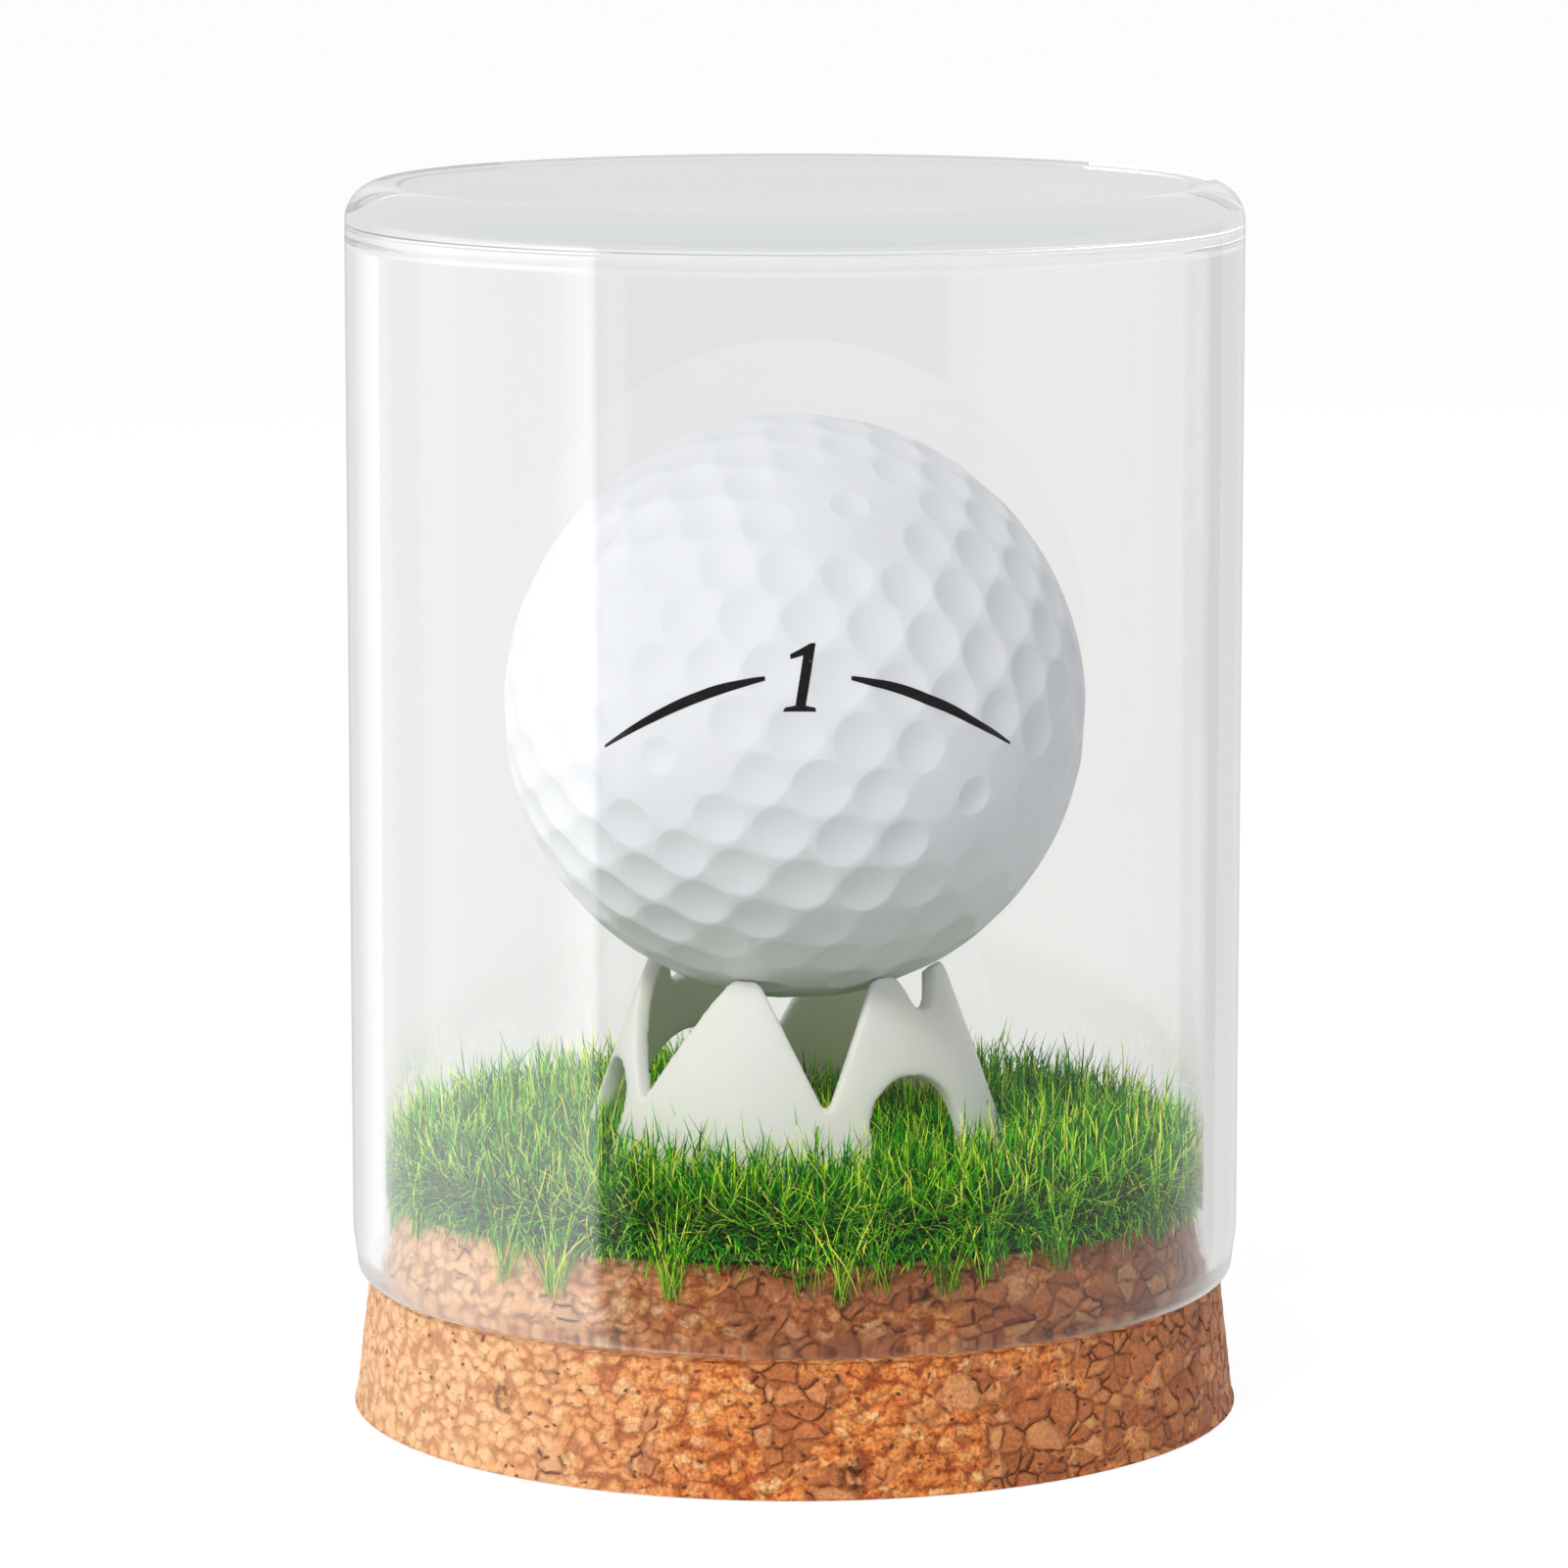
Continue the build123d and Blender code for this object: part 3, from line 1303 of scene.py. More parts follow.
@dataclass
class CorkBase:
    """The cork foot: a flange with a plug on it."""

    node: str = "cork_base"
    flange: float = 10.0 * MM
    flange_top: float = 31.65 * MM
    flange_foot: float = 32.8 * MM
    foot_round: float = 1.0 * MM
    rim_round: float = 0.35 * MM
    plug: float = 30.25 * MM
    plug_top: float = 29.25 * MM
    plug_round: float = 0.4 * MM
    land: float = 2.0 * MM
    sink: float = 0.06 * MM
    relief: float = 0.34 * MM
    foot_flat: float = 0.4 * MM
    lathe: Lathe = Lathe(620)
    finish: PressedCork = PressedCork()

    def build(self) -> bpy.types.Object:
        """Models and dresses the cork.

        Returns:
            The cork.
        """
        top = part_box(self.node)[1][2]
        corners = [  # the cuts keep the faces about 0.25 mm high
            Corner(0.0, 0.0, cuts=5),
            Corner(self.flange_foot, 0.0, self.foot_round, 4, cuts=38),
            Corner(self.flange_top, self.flange, self.rim_round, 2, cuts=3),
            Corner(self.plug, self.flange, cuts=7),
            Corner(self.plug, self.flange + self.land, cuts=18),
            Corner(self.plug_top, top, self.plug_round, 3, cuts=9),
            Corner(0.0, top),
        ]
        cork = self.lathe.turn("cork_granules", corners)
        self._roughen(cork)
        Bench.dress(cork, self.finish.material())
        Bench.fit(cork, Body.BASE, "cork", self.node)
        return cork

    def _roughen(self, cork: bpy.types.Object) -> None:
        """Sinks the seams, pits and knots into the mesh, with a geometry modifier that is applied.

        Args:
            cork: The turned cork.
        """
        group = bpy.data.node_groups.new("cork_relief", "GeometryNodeTree")
        for way in ("INPUT", "OUTPUT"):
            group.interface.new_socket("Geometry", in_out=way, socket_type="NodeSocketGeometry")
        board = Board(group)
        place = board.add("GeometryNodeInputPosition")
        grain = self.finish.grain(board, place)
        worn = board.noise(place, 260.0, 2.0)
        lumps = board.noise(place, 1 / (1.3 * MM), 2.0)
        dips = grain.seam * 0.14 * MM + grain.knot * 0.16 * MM + (1 - grain.swell) * 0.06 * MM
        depth = (self.sink + worn * 0.12 * MM + lumps * 0.16 * MM + dips).least(self.relief)
        depth = depth * board.axes(place)[2].between(0.0, self.foot_flat)
        normal = board.add("GeometryNodeInputNormal")
        sockets = {"Vector": normal, "Scale": depth * -1.0}
        shift = board.add("ShaderNodeVectorMath", {"operation": "SCALE"}, sockets)
        start = board.add("NodeGroupInput")
        moved = board.add("GeometryNodeSetPosition", None, {"Geometry": start, "Offset": shift})
        board.node("NodeGroupOutput", None, {"Geometry": moved})
        Bench.modify(cork, "NODES", node_group=group)
        Bench.smooth(cork)


@dataclass
class Blades:
    """One crop of blades, from where they root to how they bend.

    Attributes:
        roots: Places where they leave the backing.
        heading: The way each leans, in radians.
        lean: How far each leans at its root, in radians.
        bend: How much more each leans at its tip, in radians.
        length: Each one's length.
        width: Half of each one's width.
        tone: How pale each is, from 0 to 1.
        start: How far up a blade's colours each one's root is, from 0 to 1.
        curl: Turns of a helix along each.
        curl_radius: The helix's radius.
    """

    roots: np.ndarray
    heading: np.ndarray
    lean: np.ndarray
    bend: np.ndarray
    length: np.ndarray
    width: np.ndarray
    tone: np.ndarray
    start: np.ndarray
    curl: float = 0.0
    curl_radius: float = 0.0


class Law(Enum):
    """How random values are spread."""

    EVEN = "uniform"
    BELL = "normal"
    BETA = "beta"


@dataclass(frozen=True)
class Spread:
    """A random measure of a crop's blades.

    Attributes:
        first: Least value, mean, or first shape.
        second: Greatest value, deviation, or second shape.
        law: Which of these the two numbers are.
    """

    first: float
    second: float
    law: Law = Law.EVEN

    def draw(self, rng: np.random.Generator, count: int) -> np.ndarray:
        """Draws one value for each blade."""
        return getattr(rng, self.law.value)(self.first, self.second, count)


@dataclass(frozen=True)
class Habit:
    """How the blades of one crop grow.

    Attributes:
        count: How many there are.
        stray: Deviation of their headings, in radians.
        lean: Lean at the root, in radians.
        bend: Further lean at the tip, in radians.
        length: Length in millimetres.
        width: Half width in millimetres.
        tone: How pale they are, from 0 to 1.
        start: How far up a blade's colours the roots are, from 0 to 1.
        curl: Turns of a helix along each.
        curl_radius: The helix's radius, in metres.
    """

    count: int
    stray: float
    lean: Spread
    bend: Spread
    length: Spread
    width: Spread
    tone: Spread
    start: float
    curl: float = 0.0
    curl_radius: float = 0.0

    def crop(self, rng: np.random.Generator, roots: np.ndarray, heading: np.ndarray) -> Blades:
        """Draws the blades' measures.

        Args:
            rng: The random numbers.
            roots: Where the blades leave the backing.
            heading: The way each leans, in radians.

        Returns:
            The crop.
        """
        count = len(roots)
        lean, bend = self.lean.draw(rng, count), self.bend.draw(rng, count)
        length, width = self.length.draw(rng, count) * MM, self.width.draw(rng, count) * MM
        tone, start = self.tone.draw(rng, count), np.full(count, self.start)
        curl = (self.curl, self.curl_radius)
        return Blades(roots, heading, lean, bend, length, width, tone, start, *curl)


@dataclass(frozen=True)
class BladeMaker:
    """Models one blade by hand and copies it along each blade's line.

    Attributes:
        rings: Cuts along the blade.
        depth: Thickness as a share of the width.
        steps: Straight steps in each blade's line.
        droop: Power by which the lean grows up the blade.
        point: Power by which the width goes at the tip.
        neck: Width at the root, as a share of the full width.
    """

    rings: int = 3
    depth: float = 0.55
    steps: int = 24
    droop: float = 1.3
    point: float = 3.5
    neck: float = 0.7

    def model(self) -> tuple[np.ndarray, list[Face]]:
        """Models the master: a three-sided blade one unit high, cut along its length and pointed.

        Returns:
            Its vertices and its faces.
        """
        Bench.clear()
        bpy.ops.mesh.primitive_cylinder_add(
            vertices=3, radius=1, depth=1, end_fill_type="NGON", location=(0, 0, 0.5)
        )
        master = Bench.named("master_blade")
        Bench.settle(master)
        height = Bench.places(master)[:, 2]
        upright = np.ptp(height[Bench.ends(master)], axis=1) > 0.5
        with Bench.editing(master, upright, Pick.EDGES):
            bpy.ops.mesh.subdivide(number_cuts=self.rings)
        with Bench.editing(master, Bench.places(master)[:, 2] > 0.999):
            bpy.ops.mesh.merge(type="CENTER")
        Bench.weld(master)
        places = Bench.places(master)
        faces = [tuple(face.vertices) for face in master.data.polygons]
        bpy.data.objects.remove(master)
        return places, faces

    def grow(
        self, name: str, crop: Blades, tidy: Callable[[np.ndarray, np.ndarray], np.ndarray]
    ) -> bpy.types.Object:
        """Copies the master along every blade of a crop, as one mesh with its own map.

        Args:
            name: The piece's name.
            crop: The blades.
            tidy: Moves vertices clear of the neighbours, given them and their roots.

        Returns:
            The piece.
        """
        places, faces = self.model()
        count, corners = len(crop.length), len(places)
        along = places[:, 2]
        taper = np.sqrt(np.clip(1.0 - along**self.point, 0.0, 1.0))
        taper = taper * (self.neck + 0.3 * np.minimum(along * 3, 1))
        middle, side = self._line(crop, along)
        front = np.stack([-np.sin(crop.heading), np.cos(crop.heading), np.zeros(count)], 1)
        width = crop.width[:, None] * taper[None, :]
        points = (
            middle
            + front[:, None, :] * (width * places[None, :, 0])[..., None]
            + side * (width * self.depth * places[None, :, 1])[..., None]
        )
        roots = np.repeat(crop.roots, corners, axis=0)
        points = tidy(points.reshape(-1, 3), roots)
        all_faces = [
            tuple(corner + first for corner in face)
            for first in range(0, count * corners, corners)
            for face in faces
        ]
        mesh = bpy.data.meshes.new(name)
        mesh.from_pydata(points.tolist(), [], all_faces)
        work = bpy.data.objects.new(name, mesh)
        bpy.context.scene.collection.objects.link(work)
        self._lay_map(work, places, faces, crop)
        Bench.smooth(work)
        return work

    def _line(self, crop: Blades, along: np.ndarray) -> tuple[np.ndarray, np.ndarray]:
        """Follows each blade's middle line.

        Args:
            crop: The blades.
            along: How far up the master each vertex is, from 0 to 1.

        Returns:
            For each blade and vertex, the middle's place, and the direction across its thickness.
        """
        steps = self.steps
        share = np.linspace(0.0, 1.0, steps + 1)
        tilt = crop.lean[:, None] + crop.bend[:, None] * share[None, :] ** self.droop
        step = crop.length[:, None] / steps
        place = along * steps
        below = np.minimum(place.astype(int), steps - 1)
        part = place - below

        def travelled(moves: np.ndarray) -> np.ndarray:
            """Adds a line's steps up, and reads how far the line is at each vertex."""
            sums = np.concatenate([np.zeros((len(tilt), 1)), np.cumsum(moves * step, 1)], 1)
            return sums[:, below] * (1 - part) + sums[:, below + 1] * part

        out, up = travelled(np.sin(tilt[:, 1:])), travelled(np.cos(tilt[:, 1:]))
        angle = crop.lean[:, None] + crop.bend[:, None] * along[None, :] ** self.droop
        east, north = np.cos(crop.heading)[:, None], np.sin(crop.heading)[:, None]
        turn = math.tau * crop.curl * along[None, :] + crop.heading[:, None] * 3
        swing = crop.curl_radius * np.sin(turn) * along
        heave = crop.curl_radius * (1 - np.cos(turn)) * along
        root = crop.roots[:, :, None]
        x = root[:, 0] + east * out - north * swing
        y = root[:, 1] + north * out + east * swing
        middle = np.stack([x, y, root[:, 2] + up + heave], -1)
        side = np.stack([east * np.cos(angle), north * np.cos(angle), -np.sin(angle)], -1)
        return middle, side

    @staticmethod
    def _lay_map(
        work: bpy.types.Object, places: np.ndarray, faces: list[Face], crop: Blades
    ) -> None:
        """Lays each blade on a thin upright strip of the map, its tone across and its length up.

        Args:
            work: The piece.
            places: The master's vertices.
            faces: The master's faces.
            crop: The blades.
        """
        tones = 0.01 + 0.96 * np.clip(crop.tone, 0.0, 1.0)
        corner = np.array([index for face in faces for index in face])
        across = 0.02 * (0.5 + 0.5 * places[corner, 0])
        along = crop.start[:, None] + (1 - crop.start[:, None]) * places[None, corner, 2]
        layout = np.empty((len(tones), len(corner), 2))
        layout[..., 0] = tones[:, None] + across[None, :]
        layout[..., 1] = 0.01 + 0.97 * along + 0.006 * (places[None, corner, 1] + 1)
        layer = work.data.uv_layers.new(name=BAKE_MAP)
        layer.uv.foreach_set("vector", layout.astype(np.float32).ravel())


@dataclass
class Turf:
    """The turf disc: standing blades, strays, a hanging fringe and curled thatch."""

    radius: float = 28.7 * MM
    floor: float = 18.05 * MM
    bore: float = 30.3 * MM
    stand_foot: float = 16.3 * MM
    stand_low: float = 18.4 * MM
    stand_slope: float = 0.36667
    stand_wall: float = 1.3 * MM
    foot_slice: float = 0.1 * MM
    arch_bearings: tuple[float, ...] = (38.5, 104.0, 218.5, 284.0)
    arch_width: float = 8.4 * MM
    arch_height: float = 8.0 * MM
    plug: float = 30.25 * MM
    plug_land: float = 12.0 * MM
    plug_top: float = 16.6 * MM
    plug_taper: float = 1.0 * MM
    spacing: float = 0.46 * MM
    clear: float = 0.12 * MM
    plug_clear: float = 0.04 * MM
    most_pushed: float = 0.8 * MM
    rim: float = 25.5 * MM
    rim_width: float = 3.2 * MM
    zones: tuple[tuple[str, int, int], ...] = (
        ("front_left", 315, 360),
        ("front_right", 0, 45),
        ("right", 45, 135),
        ("back", 135, 225),
        ("left", 225, 315),
    )
    tuft_bearings: tuple[float, ...] = (-42.5, -33.5, -16.5, 1.5, 6.0, 11.0, 21.2, 26.4, 38.0)
    tuft_heights: tuple[float, ...] = (13.4, 13.0, 13.7, 14.2, 13.6, 14.2, 13.8, 14.2, 14.6)
    tuft_blades: tuple[int, ...] = (16, 26, 30, 14, 22, 12, 18, 16, 26)
    maker: BladeMaker = BladeMaker()
    fringe_maker: BladeMaker = BladeMaker(rings=5, depth=0.5)
    curl_maker: BladeMaker = BladeMaker(rings=9, depth=0.8)
    droop: Habit = Habit(
        count=3200,
        stray=0.65,
        lean=Spread(0.5, 1.4),
        bend=Spread(0.5, 1.9),
        length=Spread(2.2, 5.0),
        width=Spread(0.055, 0.09),
        tone=Spread(1.2, 1.5, Law.BETA),
        start=0.2,
    )
    side: Habit = Habit(
        count=3800,
        stray=0.9,
        lean=Spread(1.0, 1.7),
        bend=Spread(0.5, 1.7),
        length=Spread(1.2, 3.2),
        width=Spread(0.055, 0.085),
        tone=Spread(1.2, 1.9, Law.BETA),
        start=0.25,
    )
    cross: Habit = Habit(
        count=1500,
        stray=0.35,
        lean=Spread(0.25, 1.45),
        bend=Spread(0.1, 0.5, Law.BELL),
        length=Spread(2.6, 6.4),
        width=Spread(0.05, 0.08),
        tone=Spread(1.6, 1.1, Law.BETA),
        start=0.5,
    )
    curls: Habit = Habit(
        count=2300,
        stray=math.pi,
        lean=Spread(0.8, 1.5),
        bend=Spread(-0.6, 0.9),
        length=Spread(2.0, 4.2),
        width=Spread(0.045, 0.07),
        tone=Spread(0.0, 1.0),
        start=0.3,
        curl=1.6,
        curl_radius=0.28 * MM,
    )
    thatch_tones: Stops = (
        (0.0, (0.02, 0.09, 0.01)),
        (0.6, (0.07, 0.2, 0.02)),
        (1.0, (0.26, 0.4, 0.08)),
    )

    def build(self) -> list[bpy.types.Object]:
        """Grows and dresses every crop.

        Returns:
            The pieces.
        """
        rng = np.random.default_rng(7)
        spots = self._spots(rng)
        radius = np.hypot(spots[:, 0], spots[:, 1])
        bearing = np.degrees(np.arctan2(spots[:, 0], -spots[:, 1])) % 360
        inside = radius < self.stand_foot - self.stand_wall / 2
        yarn = Yarn().material()
        pieces = []
        for name, low, high in self.zones:
            mine = ~inside & (bearing >= low) & (bearing < high)
            pieces.append(self._standing(f"grass_{name}", spots[mine], rng, yarn))
        pieces.append(self._standing("grass_inside_stand", spots[inside], rng, yarn))
        fringe = self._fringe(rng, yarn)
        thatch = self._thatch(rng)
        for piece in (*pieces, *fringe):
            Bench.fit(piece, Body.BASE, "grass_yarn")
        Bench.fit(thatch, Body.BASE, "thatch_yarn")
        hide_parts("grass_ring")
        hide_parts("grass_patch")
        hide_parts("grass_fringe")
        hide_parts("turf_thatch_ring", "turf_thatch_patch")
        return [*pieces, *fringe, thatch]

    def _spots(self, rng: np.random.Generator) -> np.ndarray:
        """Sets out rooting places on a jittered grid, clear of the stand's feet.

        Args:
            rng: The random numbers.

        Returns:
            One row of x, y and z for each blade.
        """
        steps = np.arange(-self.radius, self.radius, self.spacing)
        x, y = (a.ravel() for a in np.meshgrid(steps, steps))
        x = x + rng.uniform(-0.5, 0.5, x.size) * self.spacing
        y = y + rng.uniform(-0.5, 0.5, y.size) * self.spacing
        radius = np.hypot(x, y)
        foot = np.full(x.size, self.stand_low + self.foot_slice)
        free = (radius < self.radius) & ~self._in_wall(x, y, foot, 0.0)
        x, y = x[free], y[free]
        return np.stack([x, y, np.full(x.size, self.floor)], 1)

    def _in_wall(self, x: np.ndarray, y: np.ndarray, z: np.ndarray, room: float) -> np.ndarray:
        """Says which points lie in the stand's wall, with some room round it.

        Args:
            x: Places along X.
            y: Places along Y.
            z: Heights.
            room: The room.

        Returns:
            One flag for each point.
        """
        radius = np.hypot(x, y)
        outer = self.stand_foot - self.stand_slope * (z - self.stand_low)
        wall = (radius < outer + room) & (radius > outer - self.stand_wall - room)
        bearing = np.arctan2(x, -y)
        open_ = np.zeros(len(x), bool)
        for centre in self.arch_bearings:
            off = (bearing - math.radians(centre) + math.pi) % math.tau - math.pi
            aside = np.abs(radius * np.sin(off))
            rise = self.arch_height - self.arch_width / 2
            over = np.maximum(z - self.stand_low - rise, 0)
            span = np.sqrt(np.maximum((self.arch_width / 2 - room) ** 2 - over**2, 0))
            open_ |= (np.abs(off) < math.pi / 2) & (aside < span)
        return wall & ~open_

    def _clear(self, points: np.ndarray, roots: np.ndarray) -> np.ndarray:
        """Moves blade vertices out of the stand's wall, the glass and the plug.

        Args:
            points: The vertices.
            roots: Where each one's blade roots.

        Returns:
            The moved vertices.
        """
        points = points.copy()
        radius = np.hypot(points[:, 0], points[:, 1])
        outer = self.stand_foot - self.stand_slope * (points[:, 2] - self.stand_low)
        hit = self._in_wall(points[:, 0], points[:, 1], points[:, 2], self.clear)
        from_outside = np.hypot(roots[:, 0], roots[:, 1]) > self.stand_foot - self.stand_wall / 2
        want = np.where(from_outside, outer + self.clear, outer - self.stand_wall - self.clear)
        wanted = np.where(hit & (np.abs(want - radius) < self.most_pushed), want, radius)
        wanted = np.minimum(wanted, self.bore - self.clear)
        below = points[:, 2] < self.plug_top
        skin = self._plug_at(np.maximum(points[:, 2], self.plug_land))
        wanted = np.where(below, np.maximum(wanted, skin + self.plug_clear), wanted)
        points[:, :2] *= (wanted / np.maximum(radius, TOUCHING))[:, None]
        return points

    def _plug_at(self, height: np.ndarray) -> np.ndarray:
        """Gives the plug's radius at heights over its land."""
        over = self.plug_taper * (height - self.plug_land)
        return self.plug - over / (self.plug_top - self.plug_land)

    def _standing(
        self, name: str, spots: np.ndarray, rng: np.random.Generator, yarn: bpy.types.Material
    ) -> bpy.types.Object:
        """Grows one zone of standing blades with some strays.

        Args:
            name: The piece's name.
            spots: Where the blades root.
            rng: The random numbers.
            yarn: The material.

        Returns:
            The piece.
        """
        count = len(spots)
        radius = np.hypot(spots[:, 0], spots[:, 1])
        outwards = np.arctan2(spots[:, 1], spots[:, 0])
        heading = rng.uniform(-math.pi, math.pi, count)
        edge = np.clip((radius - self.rim) / self.rim_width, 0, 1)
        turned = rng.random(count) < edge * 0.7
        heading = np.where(turned, outwards + rng.normal(0, 0.8, count), heading)
        stray = rng.random(count) < 0.2
        lean = np.abs(rng.normal(0.0, 0.3, count)) + 0.04 + stray * rng.uniform(0.2, 0.9, count)
        bend = rng.normal(0.3, 0.5, count) + stray * rng.uniform(-0.4, 0.9, count)
        length = np.clip(rng.normal(5.0, 1.0, count), 2.6, 7.0) * MM
        length = length * (1 + 0.25 * stray) * (1 - 0.08 * edge)
        width = rng.uniform(0.065, 0.105, count) * MM
        tone = rng.beta(0.65, 0.8, count) + 0.1 * stray
        crop = Blades(spots, heading, lean, bend, length, width, tone, np.zeros(count))
        piece = self.maker.grow(name, crop, self._clear)
        Bench.dress(piece, yarn)
        return piece

    def _rooted(self, bearing: np.ndarray, radius: np.ndarray, height: np.ndarray) -> np.ndarray:
        """Gives rooting places from bearings in degrees, radii and heights."""
        turn = np.radians(bearing)
        return np.stack([radius * np.sin(turn), -radius * np.cos(turn), height], 1)

    def _fringe(self, rng: np.random.Generator, yarn: bpy.types.Material) -> list[bpy.types.Object]:
        """Grows what shows at the rim: drooping blades, crossing strays and tufts.

        Args:
            rng: The random numbers.
            yarn: The material.

        Returns:
            The front and the back piece.
        """
        crops = [self._droop(rng), self._side(rng), self._cross(rng), self._tufts(rng)]
        parts = ("roots", "heading", "lean", "bend", "length", "width", "tone", "start")
        joined = [np.concatenate([getattr(crop, part) for crop in crops]) for part in parts]
        behind = joined[0][:, 1] > 0
        pieces = []
        for name, mine in (("front", ~behind), ("back", behind)):
            crop = Blades(*(values[mine] for values in joined))
            pieces.append(self.fringe_maker.grow(f"grass_fringe_{name}", crop, self._clear))
            Bench.dress(pieces[-1], yarn)
        return pieces

    def _droop(self, rng: np.random.Generator) -> Blades:
        """Blades that arch out over the plug's edge.

        Args:
            rng: The random numbers.

        Returns:
            The crop.
        """
        habit = self.droop
        bearing = rng.uniform(0, 360, habit.count)
        radius = (28.6 - np.abs(rng.normal(0, 0.45, habit.count))) * MM
        height = self.floor + rng.uniform(-0.9, 0.6, habit.count) * MM
        heading = np.radians(bearing) - math.pi / 2 + rng.normal(0, habit.stray, habit.count)
        return habit.crop(rng, self._rooted(bearing, radius, height), heading)

    def _side(self, rng: np.random.Generator) -> Blades:
        """Short blades that grow from the turf's cut side and hang over the plug's edge.

        Args:
            rng: The random numbers.

        Returns:
            The crop.
        """
        habit = self.side
        bearing = rng.uniform(0, 360, habit.count)
        height = self.floor - rng.uniform(0.05, 1.35, habit.count) * MM
        height = height.clip(self.plug_top + 0.1 * MM)
        radius = np.full(habit.count, self.radius + 0.02 * MM)
        heading = np.radians(bearing) - math.pi / 2 + rng.normal(0, habit.stray, habit.count)
        return habit.crop(rng, self._rooted(bearing, radius, height), heading)

    def _cross(self, rng: np.random.Generator) -> Blades:
        """Long pale blades that lie across the others at the rim.

        Args:
            rng: The random numbers.

        Returns:
            The crop.
        """
        habit = self.cross
        bearing = rng.uniform(0, 360, habit.count)
        radius = rng.uniform(27.8, 29.3, habit.count) * MM
        height = self.floor + rng.uniform(-1.3, 1.4, habit.count) * MM
        side = np.where(rng.random(habit.count) < 0.5, 0.0, math.pi)
        heading = np.radians(bearing) + side + rng.normal(0, habit.stray, habit.count)
        return habit.crop(rng, self._rooted(bearing, radius, height), heading)

    def _tufts(self, rng: np.random.Generator) -> Blades:
        """Tufts that stand at the plug's edge, each fanning up from one point.

        Args:
            rng: The random numbers.

        Returns:
            The crop.
        """
        rest = np.arange(58.0, 308.0, 10.5)
        rest = rest + rng.uniform(-4, 4, len(rest))
        centres = np.concatenate([self.tuft_bearings, rest])
        low = np.concatenate([self.tuft_heights, rng.uniform(13.8, 15.4, len(rest))])
        each = np.concatenate([self.tuft_blades, rng.integers(10, 20, len(rest))])
        home, foot = np.repeat(centres, each), np.repeat(low, each)
        count = len(home)
        bearing = home + rng.normal(0, 0.9, count)
        height = (foot + rng.uniform(-0.1, 0.9, count)) * MM
        roots = self._rooted(bearing, self._plug_at(height) - 0.05 * MM, height)
        fan = rng.uniform(-0.5, 0.5, count)
        heading = np.radians(home) + np.where(fan < 0, math.pi, 0.0) + rng.normal(0, 0.25, count)
        return Blades(
            roots,
            heading,
            np.abs(fan) * 0.8,
            np.abs(fan) * rng.uniform(0.0, 1.4, count) + rng.uniform(-0.1, 0.2, count),
            rng.uniform(4.4, 7.4, count) * MM,
            rng.uniform(0.06, 0.1, count) * MM,
            rng.beta(2.6, 1.2, count),
            rng.uniform(0.45, 0.6, count),
        )

    def _thatch(self, rng: np.random.Generator) -> bpy.types.Object:
        """Grows the curled yarn between the blades' roots, most of it near the rim.

        Args:
            rng: The random numbers.

        Returns:
            The piece.
        """
        count = self.curls.count
        near_rim = rng.random(count) < 0.75
        at_rim, within = rng.uniform(26.5, 28.7, count), rng.uniform(2, 26.5, count)
        radius = np.where(near_rim, at_rim, within) * MM
        height = np.full(count, self.floor - 0.3 * MM) + rng.uniform(0, 1.0, count) * MM
        roots = self._rooted(rng.uniform(0, 360, count), radius, height)
        foot = np.full(count, self.stand_low + self.foot_slice)
        roots = roots[~self._in_wall(roots[:, 0], roots[:, 1], foot, 0.2 * MM)]
        heading = rng.uniform(-self.curls.stray, self.curls.stray, len(roots))
        crop = self.curls.crop(rng, roots, heading)
        piece = self.curl_maker.grow("thatch_curls", crop, self._clear)
        Bench.dress(piece, Yarn("thatch_yarn", tones=self.thatch_tones).material())
        return piece


@dataclass
class CrownStand:
    """The moulded stand, with the soft edges that a mould leaves."""

    node: str = "ball_stand"
    voxel: float = 0.19 * MM
    soften: int = 6

    def build(self) -> bpy.types.Object:
        """Rounds a copy of the CAD stand and dresses it.

        Returns:
            The stand.
        """
        source = frame["nodes"][self.node]
        Bench.take(source)
        bpy.ops.object.duplicate()
        stand = Bench.named("crown_stand")
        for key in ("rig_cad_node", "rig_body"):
            stand.pop(key, None)
        Bench.weld(stand, 1e-6)
        Bench.modify(stand, "REMESH", mode="VOXEL", voxel_size=self.voxel)
        Bench.modify(stand, "SMOOTH", factor=0.5, iterations=self.soften)
        Bench.smooth(stand)
        Bench.dress(stand, MouldedPlastic().material())
        Bench.fit(stand, Body.BASE, "stand_plastic", self.node)
        return stand


@dataclass(frozen=True)
class Dimples:
    """Where the ball's dimples are and how wide.

    Attributes:
        centres: One direction for each.
        wide: Their radii, along the ball's surface.
        finder: Finds the nearest centre.
        radius: The ball's radius.
    """

    centres: np.ndarray
    wide: np.ndarray
    finder: KDTree
    radius: float


